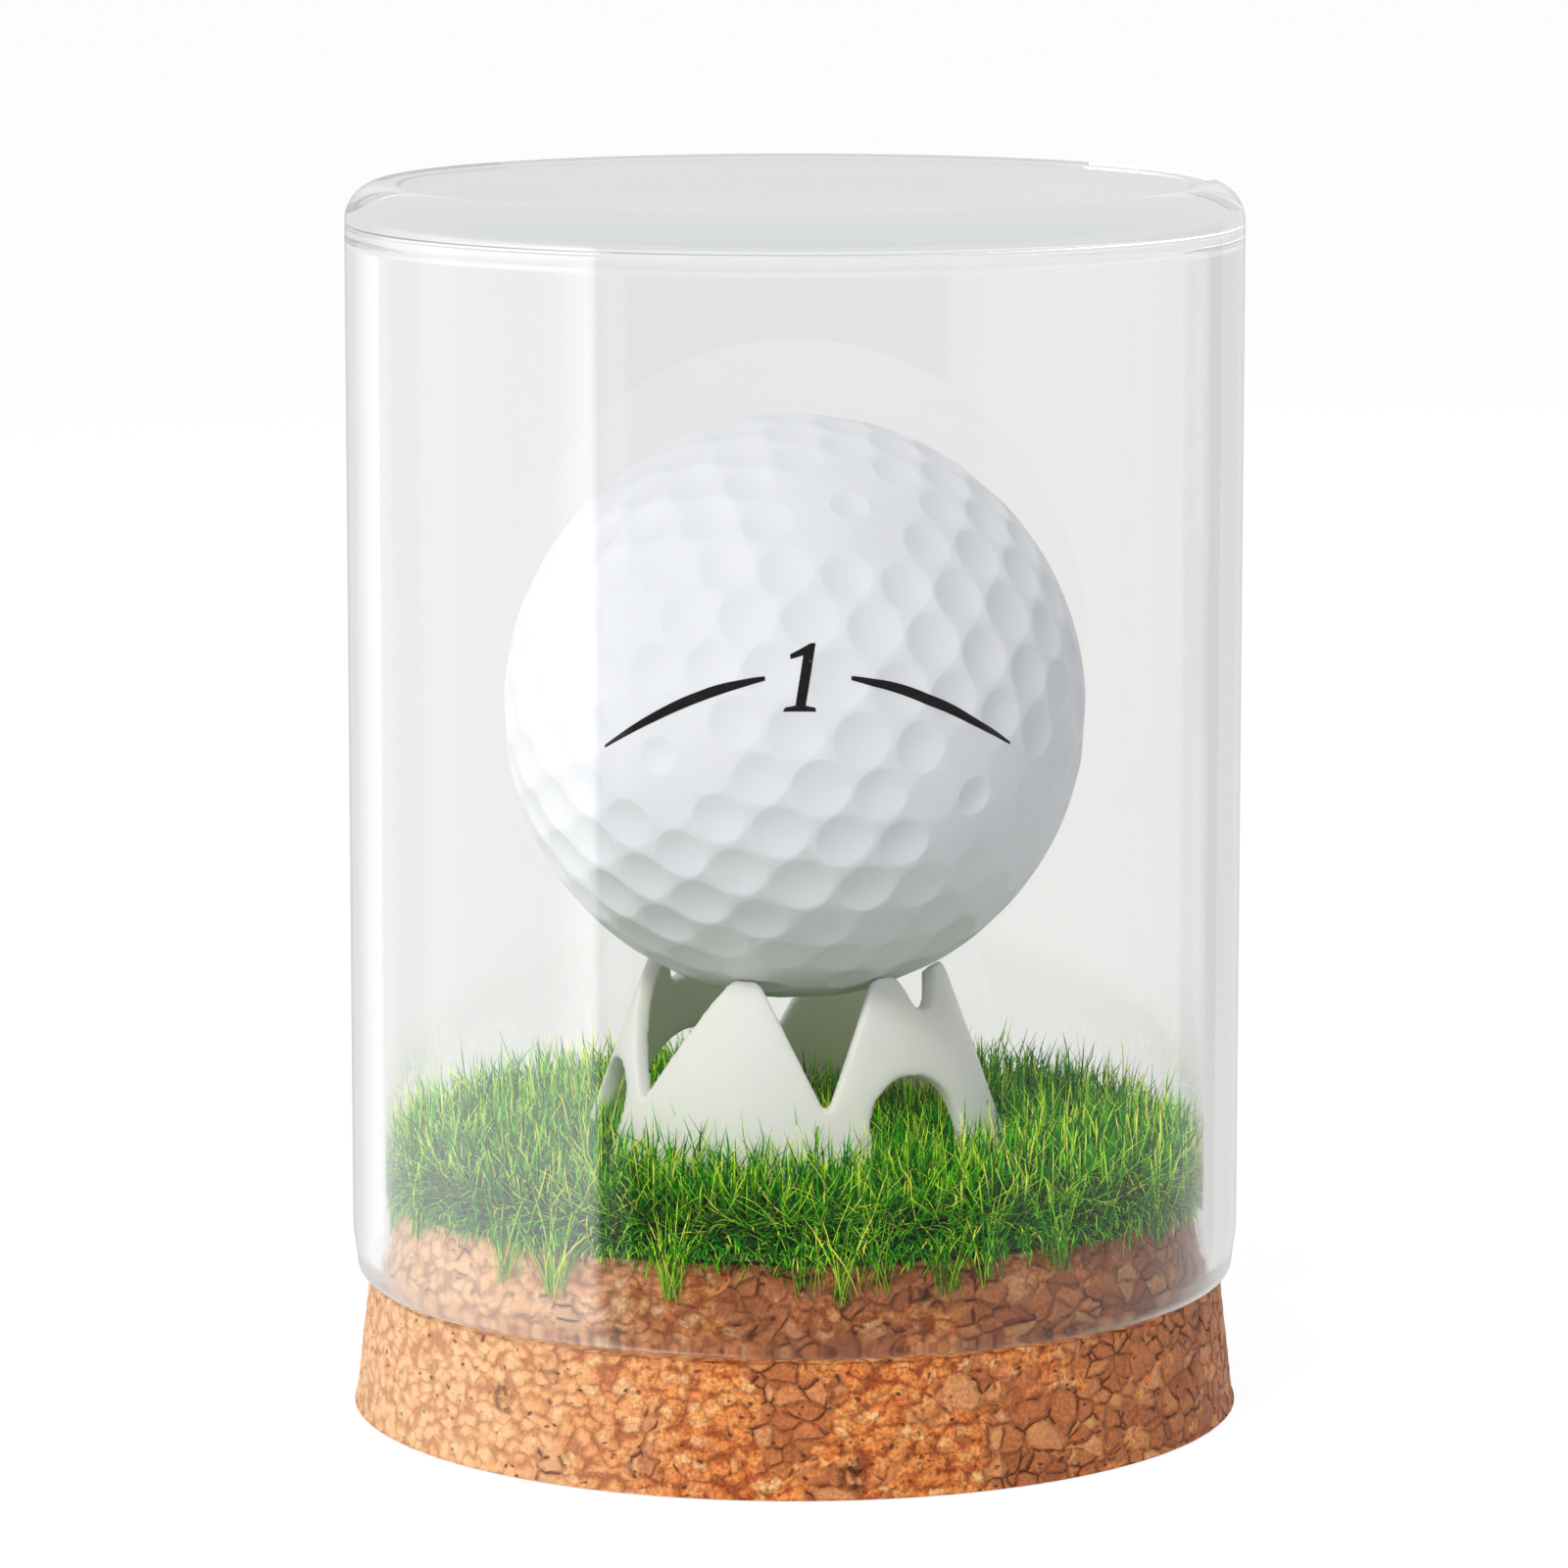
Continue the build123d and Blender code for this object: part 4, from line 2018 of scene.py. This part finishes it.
@dataclass
class GolfBall:
    """The ball's dimpled cover and the mark printed on it."""

    node: str = "ball_cover"
    turn: tuple[float, float, float] = (1.31877, -0.6655, -2.33908)
    frequency: int = 6
    sides: int = 6
    depth: float = 0.42 * MM
    widest: float = 2.35 * MM
    point_share: float = 0.72
    lip: float = 0.15 * MM
    roll: float = 0.06 * MM
    first_cut: float = 0.9 * MM
    inset: float = 0.05 * MM
    neighbours: int = 6
    rings: tuple[float, ...] = (0.965, 0.85, 0.68, 0.48, 0.25)
    mark_height: float = 0.03 * MM
    mark_ahead: float = 2 * MM
    mark_grain: float = 0.3 * MM
    digit_outline: tuple[tuple[float, float], ...] = (
        (-1.15, 0.0),
        (1.15, 0.0),
        (1.05, 0.28),
        (0.36, 0.42),
        (0.36, 4.7),
        (0.02, 4.7),
        (-1.3, 3.95),
        (-1.2, 3.62),
        (-0.36, 3.9),
        (-0.36, 0.42),
        (-1.05, 0.28),
    )
    digit_lean: float = 0.16
    digit_aside: float = 0.3
    digit_up: float = 2.5
    line_start: float = 3.0 * MM
    line_length: float = 11.2 * MM
    line_thick: float = 0.78 * MM
    line_aside: float = 0.9 * MM
    arch_top: float = 5.0 * MM
    arch_radius: float = 18.0 * MM

    def build(self) -> list[bpy.types.Object]:
        """Models and dresses the cover and the mark.

        Returns:
            The pieces.
        """
        low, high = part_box(self.node)
        radius = (high[2] - low[2]) / 2
        centre = Vector((0.0, 0.0, (high[2] + low[2]) / 2))
        cover = self._cover(radius)
        cover.location = centre
        Bench.settle(cover)
        Bench.smooth(cover)
        Bench.dress(cover, BallPaint().material())
        Bench.fit(cover, Body.BALL, "ball_cover", self.node)
        mark = self._mark(cover, centre, radius)
        Bench.dress(mark, PadPrint().material())
        Bench.fit(mark, Body.BALL, "ball_cover")
        return [cover, mark]

    def _cover(self, radius: float) -> bpy.types.Object:
        """Cuts a ring round every point of a geodesic sphere and sinks a dimple in each.

        Args:
            radius: The ball's radius.

        Returns:
            The cover, with its centre at the origin.
        """
        Bench.clear()
        bpy.ops.mesh.primitive_ico_sphere_add(subdivisions=1, radius=radius, rotation=self.turn)
        cover = Bench.named("ball_dimpled_cover")
        Bench.settle(cover)
        points = self._outwards(cover)
        self._divide(cover, self.frequency)
        centres = self._outwards(cover)
        finder = KDTree(len(centres))
        for index, place in enumerate(centres):
            finder.insert(place, index)
        finder.balance()
        wide = self._widths(centres, points, finder, radius)
        dimples = Dimples(centres, wide, finder, radius)
        with Bench.editing(cover):
            bpy.ops.mesh.bevel(
                offset=self.first_cut,
                offset_type="OFFSET",
                segments=1,
                affect="VERTICES",
                clamp_overlap=False,
            )
        with Bench.editing(cover, self._caps(cover, finder), Pick.FACES):
            bpy.ops.mesh.subdivide(number_cuts=self.sides - 1)
        self._sink(cover, np.ones(len(cover.data.vertices), bool), dimples, None)
        chosen = self._caps(cover, finder)
        for share in self.rings:
            with Bench.editing(cover, chosen, Pick.FACES):
                bpy.ops.mesh.inset(thickness=self.inset, use_individual=True)
            inner, chosen = self._picked(cover.data.vertices), self._picked(cover.data.polygons)
            self._sink(cover, inner, dimples, share)
        with Bench.editing(cover, chosen, Pick.FACES):
            bpy.ops.mesh.poke()
        near = np.array([finder.find(place)[2] for place in self._outwards(cover)])
        self._sink(cover, near < 0.01, dimples, 0.0)
        Bench.weld(cover)
        return cover

    def _widths(
        self, centres: np.ndarray, points: np.ndarray, finder: KDTree, radius: float
    ) -> np.ndarray:
        """Chooses each dimple's radius, so that neighbours leave an even lip.

        Args:
            centres: Directions of the dimples.
            points: Directions of the twelve small ones.
            finder: Finds centres.
            radius: The ball's radius.

        Returns:
            The radii, along the ball's surface.
        """
        small = np.abs(centres @ points.T).max(axis=1) > 1 - 1e-6
        weight = np.where(small, self.point_share, 1.0)
        wide = np.full(len(centres), self.widest)
        for index, place in enumerate(centres):
            for _, other, chord in finder.find_n(place, self.neighbours + 1)[1:]:
                gap = 2 * math.asin(chord / 2) * radius - self.lip
                share = weight[index] / (weight[index] + weight[other])
                wide[index] = min(wide[index], gap * share)
        return wide

    def _sink(
        self, cover: bpy.types.Object, chosen: np.ndarray, dimples: Dimples, share: float | None
    ) -> None:
        """Moves a ring of each dimple to its place.

        Args:
            cover: The cover.
            chosen: The vertices.
            dimples: The dimples.
            share: How far out the ring is, 0 to 1, or None for the lip that stays on the sphere.
        """
        places = Bench.places(cover)
        outwards = self._outwards(cover)[chosen]
        which = np.array([dimples.finder.find(place)[1] for place in outwards])
        centre, width = dimples.centres[which], dimples.wide[which][:, None]
        aside = outwards - centre * (outwards * centre).sum(axis=1)[:, None]
        aside /= np.maximum(np.linalg.norm(aside, axis=1)[:, None], 1e-12)
        angle = (width + self.roll if share is None else width * share) / dimples.radius
        drop = 0.0 if share is None else self.depth * width / self.widest * (1 - share**2)
        moved = centre * np.cos(angle) + aside * np.sin(angle)
        places[chosen] = moved * (dimples.radius - drop)
        Bench.put(cover, places)

    @staticmethod
    def _caps(cover: bpy.types.Object, finder: KDTree) -> np.ndarray:
        """Says which faces have a dimple's centre in their middle.

        Args:
            cover: The cover.
            finder: Finds centres.

        Returns:
            One flag for each face.
        """
        middle = np.array([face.center[:] for face in cover.data.polygons])
        middle /= np.linalg.norm(middle, axis=1)[:, None]
        return np.array([finder.find(place)[2] < 0.004 for place in middle])

    @staticmethod
    def _picked(items: bpy.types.bpy_prop_collection) -> np.ndarray:
        """Reads which vertices or faces are selected.

        Args:
            items: The mesh's vertices or faces.

        Returns:
            One flag for each.
        """
        flags = np.empty(len(items), bool)
        items.foreach_get("select", flags)
        return flags

    @staticmethod
    def _outwards(work: bpy.types.Object) -> np.ndarray:
        """Gives each vertex's direction from the origin."""
        places = Bench.places(work)
        return places / np.linalg.norm(places, axis=1)[:, None]

    @staticmethod
    def _divide(work: bpy.types.Object, parts: int) -> None:
        """Divides every edge into parts and draws the vertices out to the sphere."""
        with Bench.editing(work):
            bpy.ops.mesh.subdivide(number_cuts=parts - 1)
            bpy.ops.transform.tosphere(value=1)

    def _mark(self, cover: bpy.types.Object, centre: Vector, radius: float) -> bpy.types.Object:
        """Cuts the printed mark: an arched line to each side of a plain digit.

        Args:
            cover: The dimpled cover, which the mark lies on.
            centre: The ball's centre.
            radius: The ball's radius.

        Returns:
            The mark.
        """
        digit = self._digit(centre, radius)
        lines = [self._arc_line(centre, radius, side) for side in (-1.0, 1.0)]
        Bench.take(digit)
        for line in lines:
            line.select_set(True)
        bpy.ops.object.join()
        mark = Bench.named("ball_mark")
        Bench.modify(
            mark,
            "SHRINKWRAP",
            target=cover,
            wrap_method="PROJECT",
            use_project_y=True,
            use_negative_direction=False,
            use_positive_direction=True,
            offset=self.mark_height / 2,
        )
        Bench.modify(mark, "SOLIDIFY", thickness=self.mark_height, offset=0.0)
        Bench.weld(mark, 1e-8)
        Bench.smooth(mark)
        return mark

    def _digit(self, centre: Vector, radius: float) -> bpy.types.Object:
        """Draws a leaning digit one flat, in front of the ball.

        Args:
            centre: The ball's centre.
            radius: The ball's radius.

        Returns:
            The digit.
        """
        outline = np.array(self.digit_outline)
        Bench.clear()
        bpy.ops.mesh.primitive_circle_add(vertices=len(outline), fill_type="NGON")
        digit = Bench.named("digit")
        made = np.empty((len(outline), 3))
        made[:, 0] = (outline[:, 0] + self.digit_lean * outline[:, 1] + self.digit_aside) * MM
        made[:, 1] = -radius - self.mark_ahead
        made[:, 2] = centre.z + (outline[:, 1] + self.digit_up) * MM
        Bench.put(digit, made)
        self._refine(digit)
        return digit

    def _arc_line(self, centre: Vector, radius: float, side: float) -> bpy.types.Object:
        """Draws one arched line flat, in front of the ball.

        Args:
            centre: The ball's centre.
            radius: The ball's radius.
            side: -1 for the left line, 1 for the right one.

        Returns:
            The line.
        """
        Bench.clear()
        bpy.ops.mesh.primitive_grid_add(x_subdivisions=62, y_subdivisions=3, size=1)
        line = Bench.named("mark_line")
        places = Bench.places(line)
        share = places[:, 0] + 0.5
        across = self.line_start + share * self.line_length
        swell = np.sin(math.pi * np.clip(share * 0.92 + 0.06, 0, 1)) ** 0.8
        thick = self.line_thick * (0.16 + 0.84 * swell)
        arch = self.arch_top - across**2 / (2 * self.arch_radius)
        made = np.empty_like(places)
        made[:, 0] = side * across + self.line_aside
        made[:, 1] = -radius - self.mark_ahead
        made[:, 2] = centre.z + arch + places[:, 1] * thick
        Bench.put(line, made)
        return line

    def _refine(self, work: bpy.types.Object) -> None:
        """Cuts a flat shape into small squares, so that it can follow the dimples."""
        low, high = Bench.places(work).min(0), Bench.places(work).max(0)
        with Bench.editing(work):
            for axis in (0, 2):
                for place in np.arange(low[axis] + self.mark_grain, high[axis], self.mark_grain):
                    spot, normal = [0.0, 0.0, 0.0], [0.0, 0.0, 0.0]
                    spot[axis], normal[axis] = float(place), 1.0
                    bpy.ops.mesh.select_all(action="SELECT")
                    bpy.ops.mesh.bisect(plane_co=spot, plane_no=normal, use_fill=False)


@dataclass
class HiddenLayers:
    """The layers that keep their CAD solids: glue, latex, cloth and the ball's core."""

    def build(self) -> None:
        """Dresses each node."""
        glue = PlainLayer("clear_glue", (0.3, 0.2, 0.085), (0.4, 0.27, 0.12), 500.0, 0.35)
        latex = PlainLayer("turf_latex", (0.03, 0.035, 0.028), (0.05, 0.055, 0.045), 900.0, 0.75)
        rubber = PlainLayer("ball_rubber", (0.05, 0.12, 0.3), (0.07, 0.15, 0.34), 400.0, 0.6)
        finishes = {
            "turf_glue": glue.material(),
            "stand_foot_glue": glue.material(),
            "turf_latex_backing": latex.material(),
            "turf_cloth_backing": WovenBacking().material(),
            "ball_core": rubber.material(),
        }
        for node, material in finishes.items():
            Bench.dress(frame["nodes"][node], material)
            log.info("%s: CAD node dressed", node)


# ---------------------------------------------------------------- studio

# Bearing where each band starts, and its level there and at its end: light that glass passes on
# from the height of the room, the same from above and below, and light that shiny surfaces mirror.
SEEN_BANDS: tuple[Band, ...] = (
    (-180.0, 0.9, 0.9),
    (-176.9, 0.74, 0.74),
    (-160.0, 0.77, 0.92),
    (-150.0, 0.95, 0.95),
    (-45.0, 0.12, 0.15),
    (52.0, 0.45, 0.6),
    (120.0, 0.72, 0.8),
    (165.0, 0.9, 0.9),
)
SOFT_BANDS: tuple[Band, ...] = ((-180.0, 0.9, 0.95), (-52.0, 0.8, 0.75), (52.0, 0.7, 0.9))
SHINE_TOP = 8.0
SHINE_HIGH = 0.1
SHINE_BANDS: tuple[Band, ...] = (
    (-180.0, 0.083, 0.083),
    (-164.0, 0.1, 0.098),
    (-136.0, 0.098, 0.3),
    (-110.0, 0.34, 0.47),
    (-100.0, 0.47, 0.63),
    (-52.0, 0.012, 0.02),
    (60.0, 0.03, 0.06),
    (140.0, 0.1, 0.1),
    (164.0, 0.083, 0.083),
)


@dataclass(frozen=True)
class Lamp:
    """A round soft lamp that glass and gloss don't show.

    Attributes:
        name: Its name.
        watts: Its power.
        bearing: Its bearing in degrees.
        height: Its height over the horizon in degrees.
        size: Its diameter.
    """

    name: str
    watts: float
    bearing: float
    height: float
    size: float


@dataclass
class Studio:
    """Camera, lamps, surroundings and floor."""

    camera_place: tuple[float, float, float] = (-0.79 * MM, -527.33 * MM, 126.30 * MM)
    camera_pitch: float = 8.6638
    lens: float = 166.56
    sensor: float = 36.0
    lamps: tuple[Lamp, ...] = (
        Lamp("key", 2.55, -29.0, 42.0, 0.16),
        Lamp("side", 0.5, -97.0, 4.0, 0.2),
        Lamp("rim", 1.1, 152.0, 38.0, 0.16),
    )
    lamp_distance: float = 0.7
    lamp_aim: float = 0.03
    lamp_colour: Colour = (1.0, 0.985, 0.95)
    plain_low: Colour = (0.31, 0.33, 0.385)
    plain_high: Colour = (0.56, 0.557, 0.55)
    white: Colour = (1.0, 1.0, 1.0)
    paper: Colour = (0.86, 0.86, 0.86)
    other_paper: Colour = (0.9, 0.9, 0.9)
    paper_glow: float = 1.08
    glow_share: float = 0.84
    floor_size: float = 10.0
    floor_sink: float = 0.02 * MM

    def build(self) -> None:
        """Sets the scene up."""
        self._camera()
        self._lamps()
        self._surroundings()
        self._floor()
        scene = bpy.context.scene
        scene.view_settings.view_transform = "Standard"

    def _camera(self) -> None:
        """Adds the camera."""
        data = bpy.data.cameras.new("view")
        data.lens, data.sensor_width = self.lens, self.sensor
        data.clip_start, data.clip_end = 0.01, 20.0
        camera = bpy.data.objects.new("view", data)
        camera.location = self.camera_place
        camera.rotation_euler = (math.radians(90 - self.camera_pitch), 0, 0)
        bpy.context.scene.collection.objects.link(camera)
        bpy.context.scene.camera = camera

    def _lamps(self) -> None:
        """Adds the soft lamps: the key in front, a low one at the side and one behind."""
        for plan in self.lamps:
            turn, rise = math.radians(plan.bearing), math.radians(plan.height)
            away = Vector(
                (math.sin(turn) * math.cos(rise), -math.cos(turn) * math.cos(rise), math.sin(rise))
            )
            data = bpy.data.lights.new(plan.name, "AREA")
            data.shape, data.size = "DISK", plan.size
            data.energy, data.color = plan.watts, self.lamp_colour
            lamp = bpy.data.objects.new(plan.name, data)
            lamp.location = away * self.lamp_distance + Vector((0, 0, self.lamp_aim))
            lamp.rotation_euler = away.to_track_quat("Z", "Y").to_euler()
            lamp.visible_camera = lamp.visible_glossy = lamp.visible_transmission = False
            bpy.context.scene.collection.objects.link(lamp)

    def _surroundings(self) -> None:
        """Builds the world: white to the camera, soft boxes to glass, plain light to the rest."""
        world = bpy.data.worlds.new("studio")
        world.use_nodes = True
        world.node_tree.nodes.clear()
        board = Board(world.node_tree)
        x, y, z = board.axes(board.add("ShaderNodeTexCoord", output="Generated"))
        bearing = board.maths("ARCTAN2", x, y * -1.0) / math.tau + 0.5
        camera, glossy, through, bounces = board.light_path(
            "Is Camera Ray", "Is Glossy Ray", "Is Transmission Ray", "Diffuse Depth"
        )
        through = through * (1 - (bounces > 0.5))
        lift = (x * -0.15 + z * 0.5 + 0.4).between(0.0, 1.0, False)
        plain = board.blend(lift, self.plain_low, self.plain_high)
        level = z.between(-0.32, -0.28) * (1 - z.between(-0.06, -0.02))
        soft, seen, shine = (
            board.ramp(bearing, self._stops(bands))
            for bands in (SOFT_BANDS, SEEN_BANDS, SHINE_BANDS)
        )
        shine = board.blend(z.between(0.02, 0.14), shine, (SHINE_HIGH,) * 3)
        colour = board.blend(glossy, plain, shine)
        colour = board.blend(through, colour, board.blend(level, soft, seen))
        colour = board.blend(camera, colour, self.white)
        strength = glossy * (1 - through) * (1 - camera) * (SHINE_TOP - 1) + 1.0
        back = board.add("ShaderNodeBackground", None, {"Color": colour, "Strength": strength})
        board.node("ShaderNodeOutputWorld", None, {"Surface": back})
        bpy.context.scene.world = world

    @staticmethod
    def _stops(bands: Sequence[Band]) -> list[tuple[float, Colour]]:
        """Turns bands of bearing into ramp stops, with sharp steps between them.

        Args:
            bands: Where each starts, and its level at its start and end.

        Returns:
            The ramp's stops.
        """
        edge = 0.0003
        stops: list[tuple[float, Colour]] = []
        ends = [start for start, _, _ in bands[1:]] + [180.0]
        for (start, first, last), stop in zip(bands, ends):
            stops.append(((start + 180) / 360 + edge * bool(stops), (first,) * 3))
            stops.append(((stop + 180) / 360 - edge, (last,) * 3))
        return stops

    def _floor(self) -> None:
        """Adds the floor, which is white to the camera and keeps the object's shadow."""
        Bench.clear()
        place = (0, 0, -self.floor_sink)
        bpy.ops.mesh.primitive_plane_add(size=self.floor_size, location=place)
        floor = Bench.named("floor")
        material = bpy.data.materials.new("floor_paper")
        material.use_nodes = True
        material.node_tree.nodes.clear()
        board = Board(material.node_tree)
        fibre = board.noise(board.add("ShaderNodeTexCoord", output="Object"), 300.0, 2.0)
        colour = board.blend(fibre, self.paper, self.other_paper)
        paper = board.add("ShaderNodeBsdfDiffuse", None, {"Color": colour})
        glow = {"Color": self.white, "Strength": self.paper_glow}
        white = board.add("ShaderNodeEmission", None, glow)
        (seen,) = board.light_path("Is Camera Ray")
        mixed = board.layered(seen * self.glow_share, paper, white)
        board.node("ShaderNodeOutputMaterial", None, {"Surface": mixed})
        Bench.dress(floor, material)
        floor.visible_glossy = floor.visible_transmission = False


def main() -> None:
    """Builds the sub-assemblies in order."""
    logging.basicConfig(level=logging.INFO, format="%(name)s %(message)s")
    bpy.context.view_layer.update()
    Studio().build()
    HiddenLayers().build()
    GlassDome().build()
    CorkBase().build()
    CrownStand().build()
    GolfBall().build()
    Turf().build()


if __name__ == "__main__":
    main()
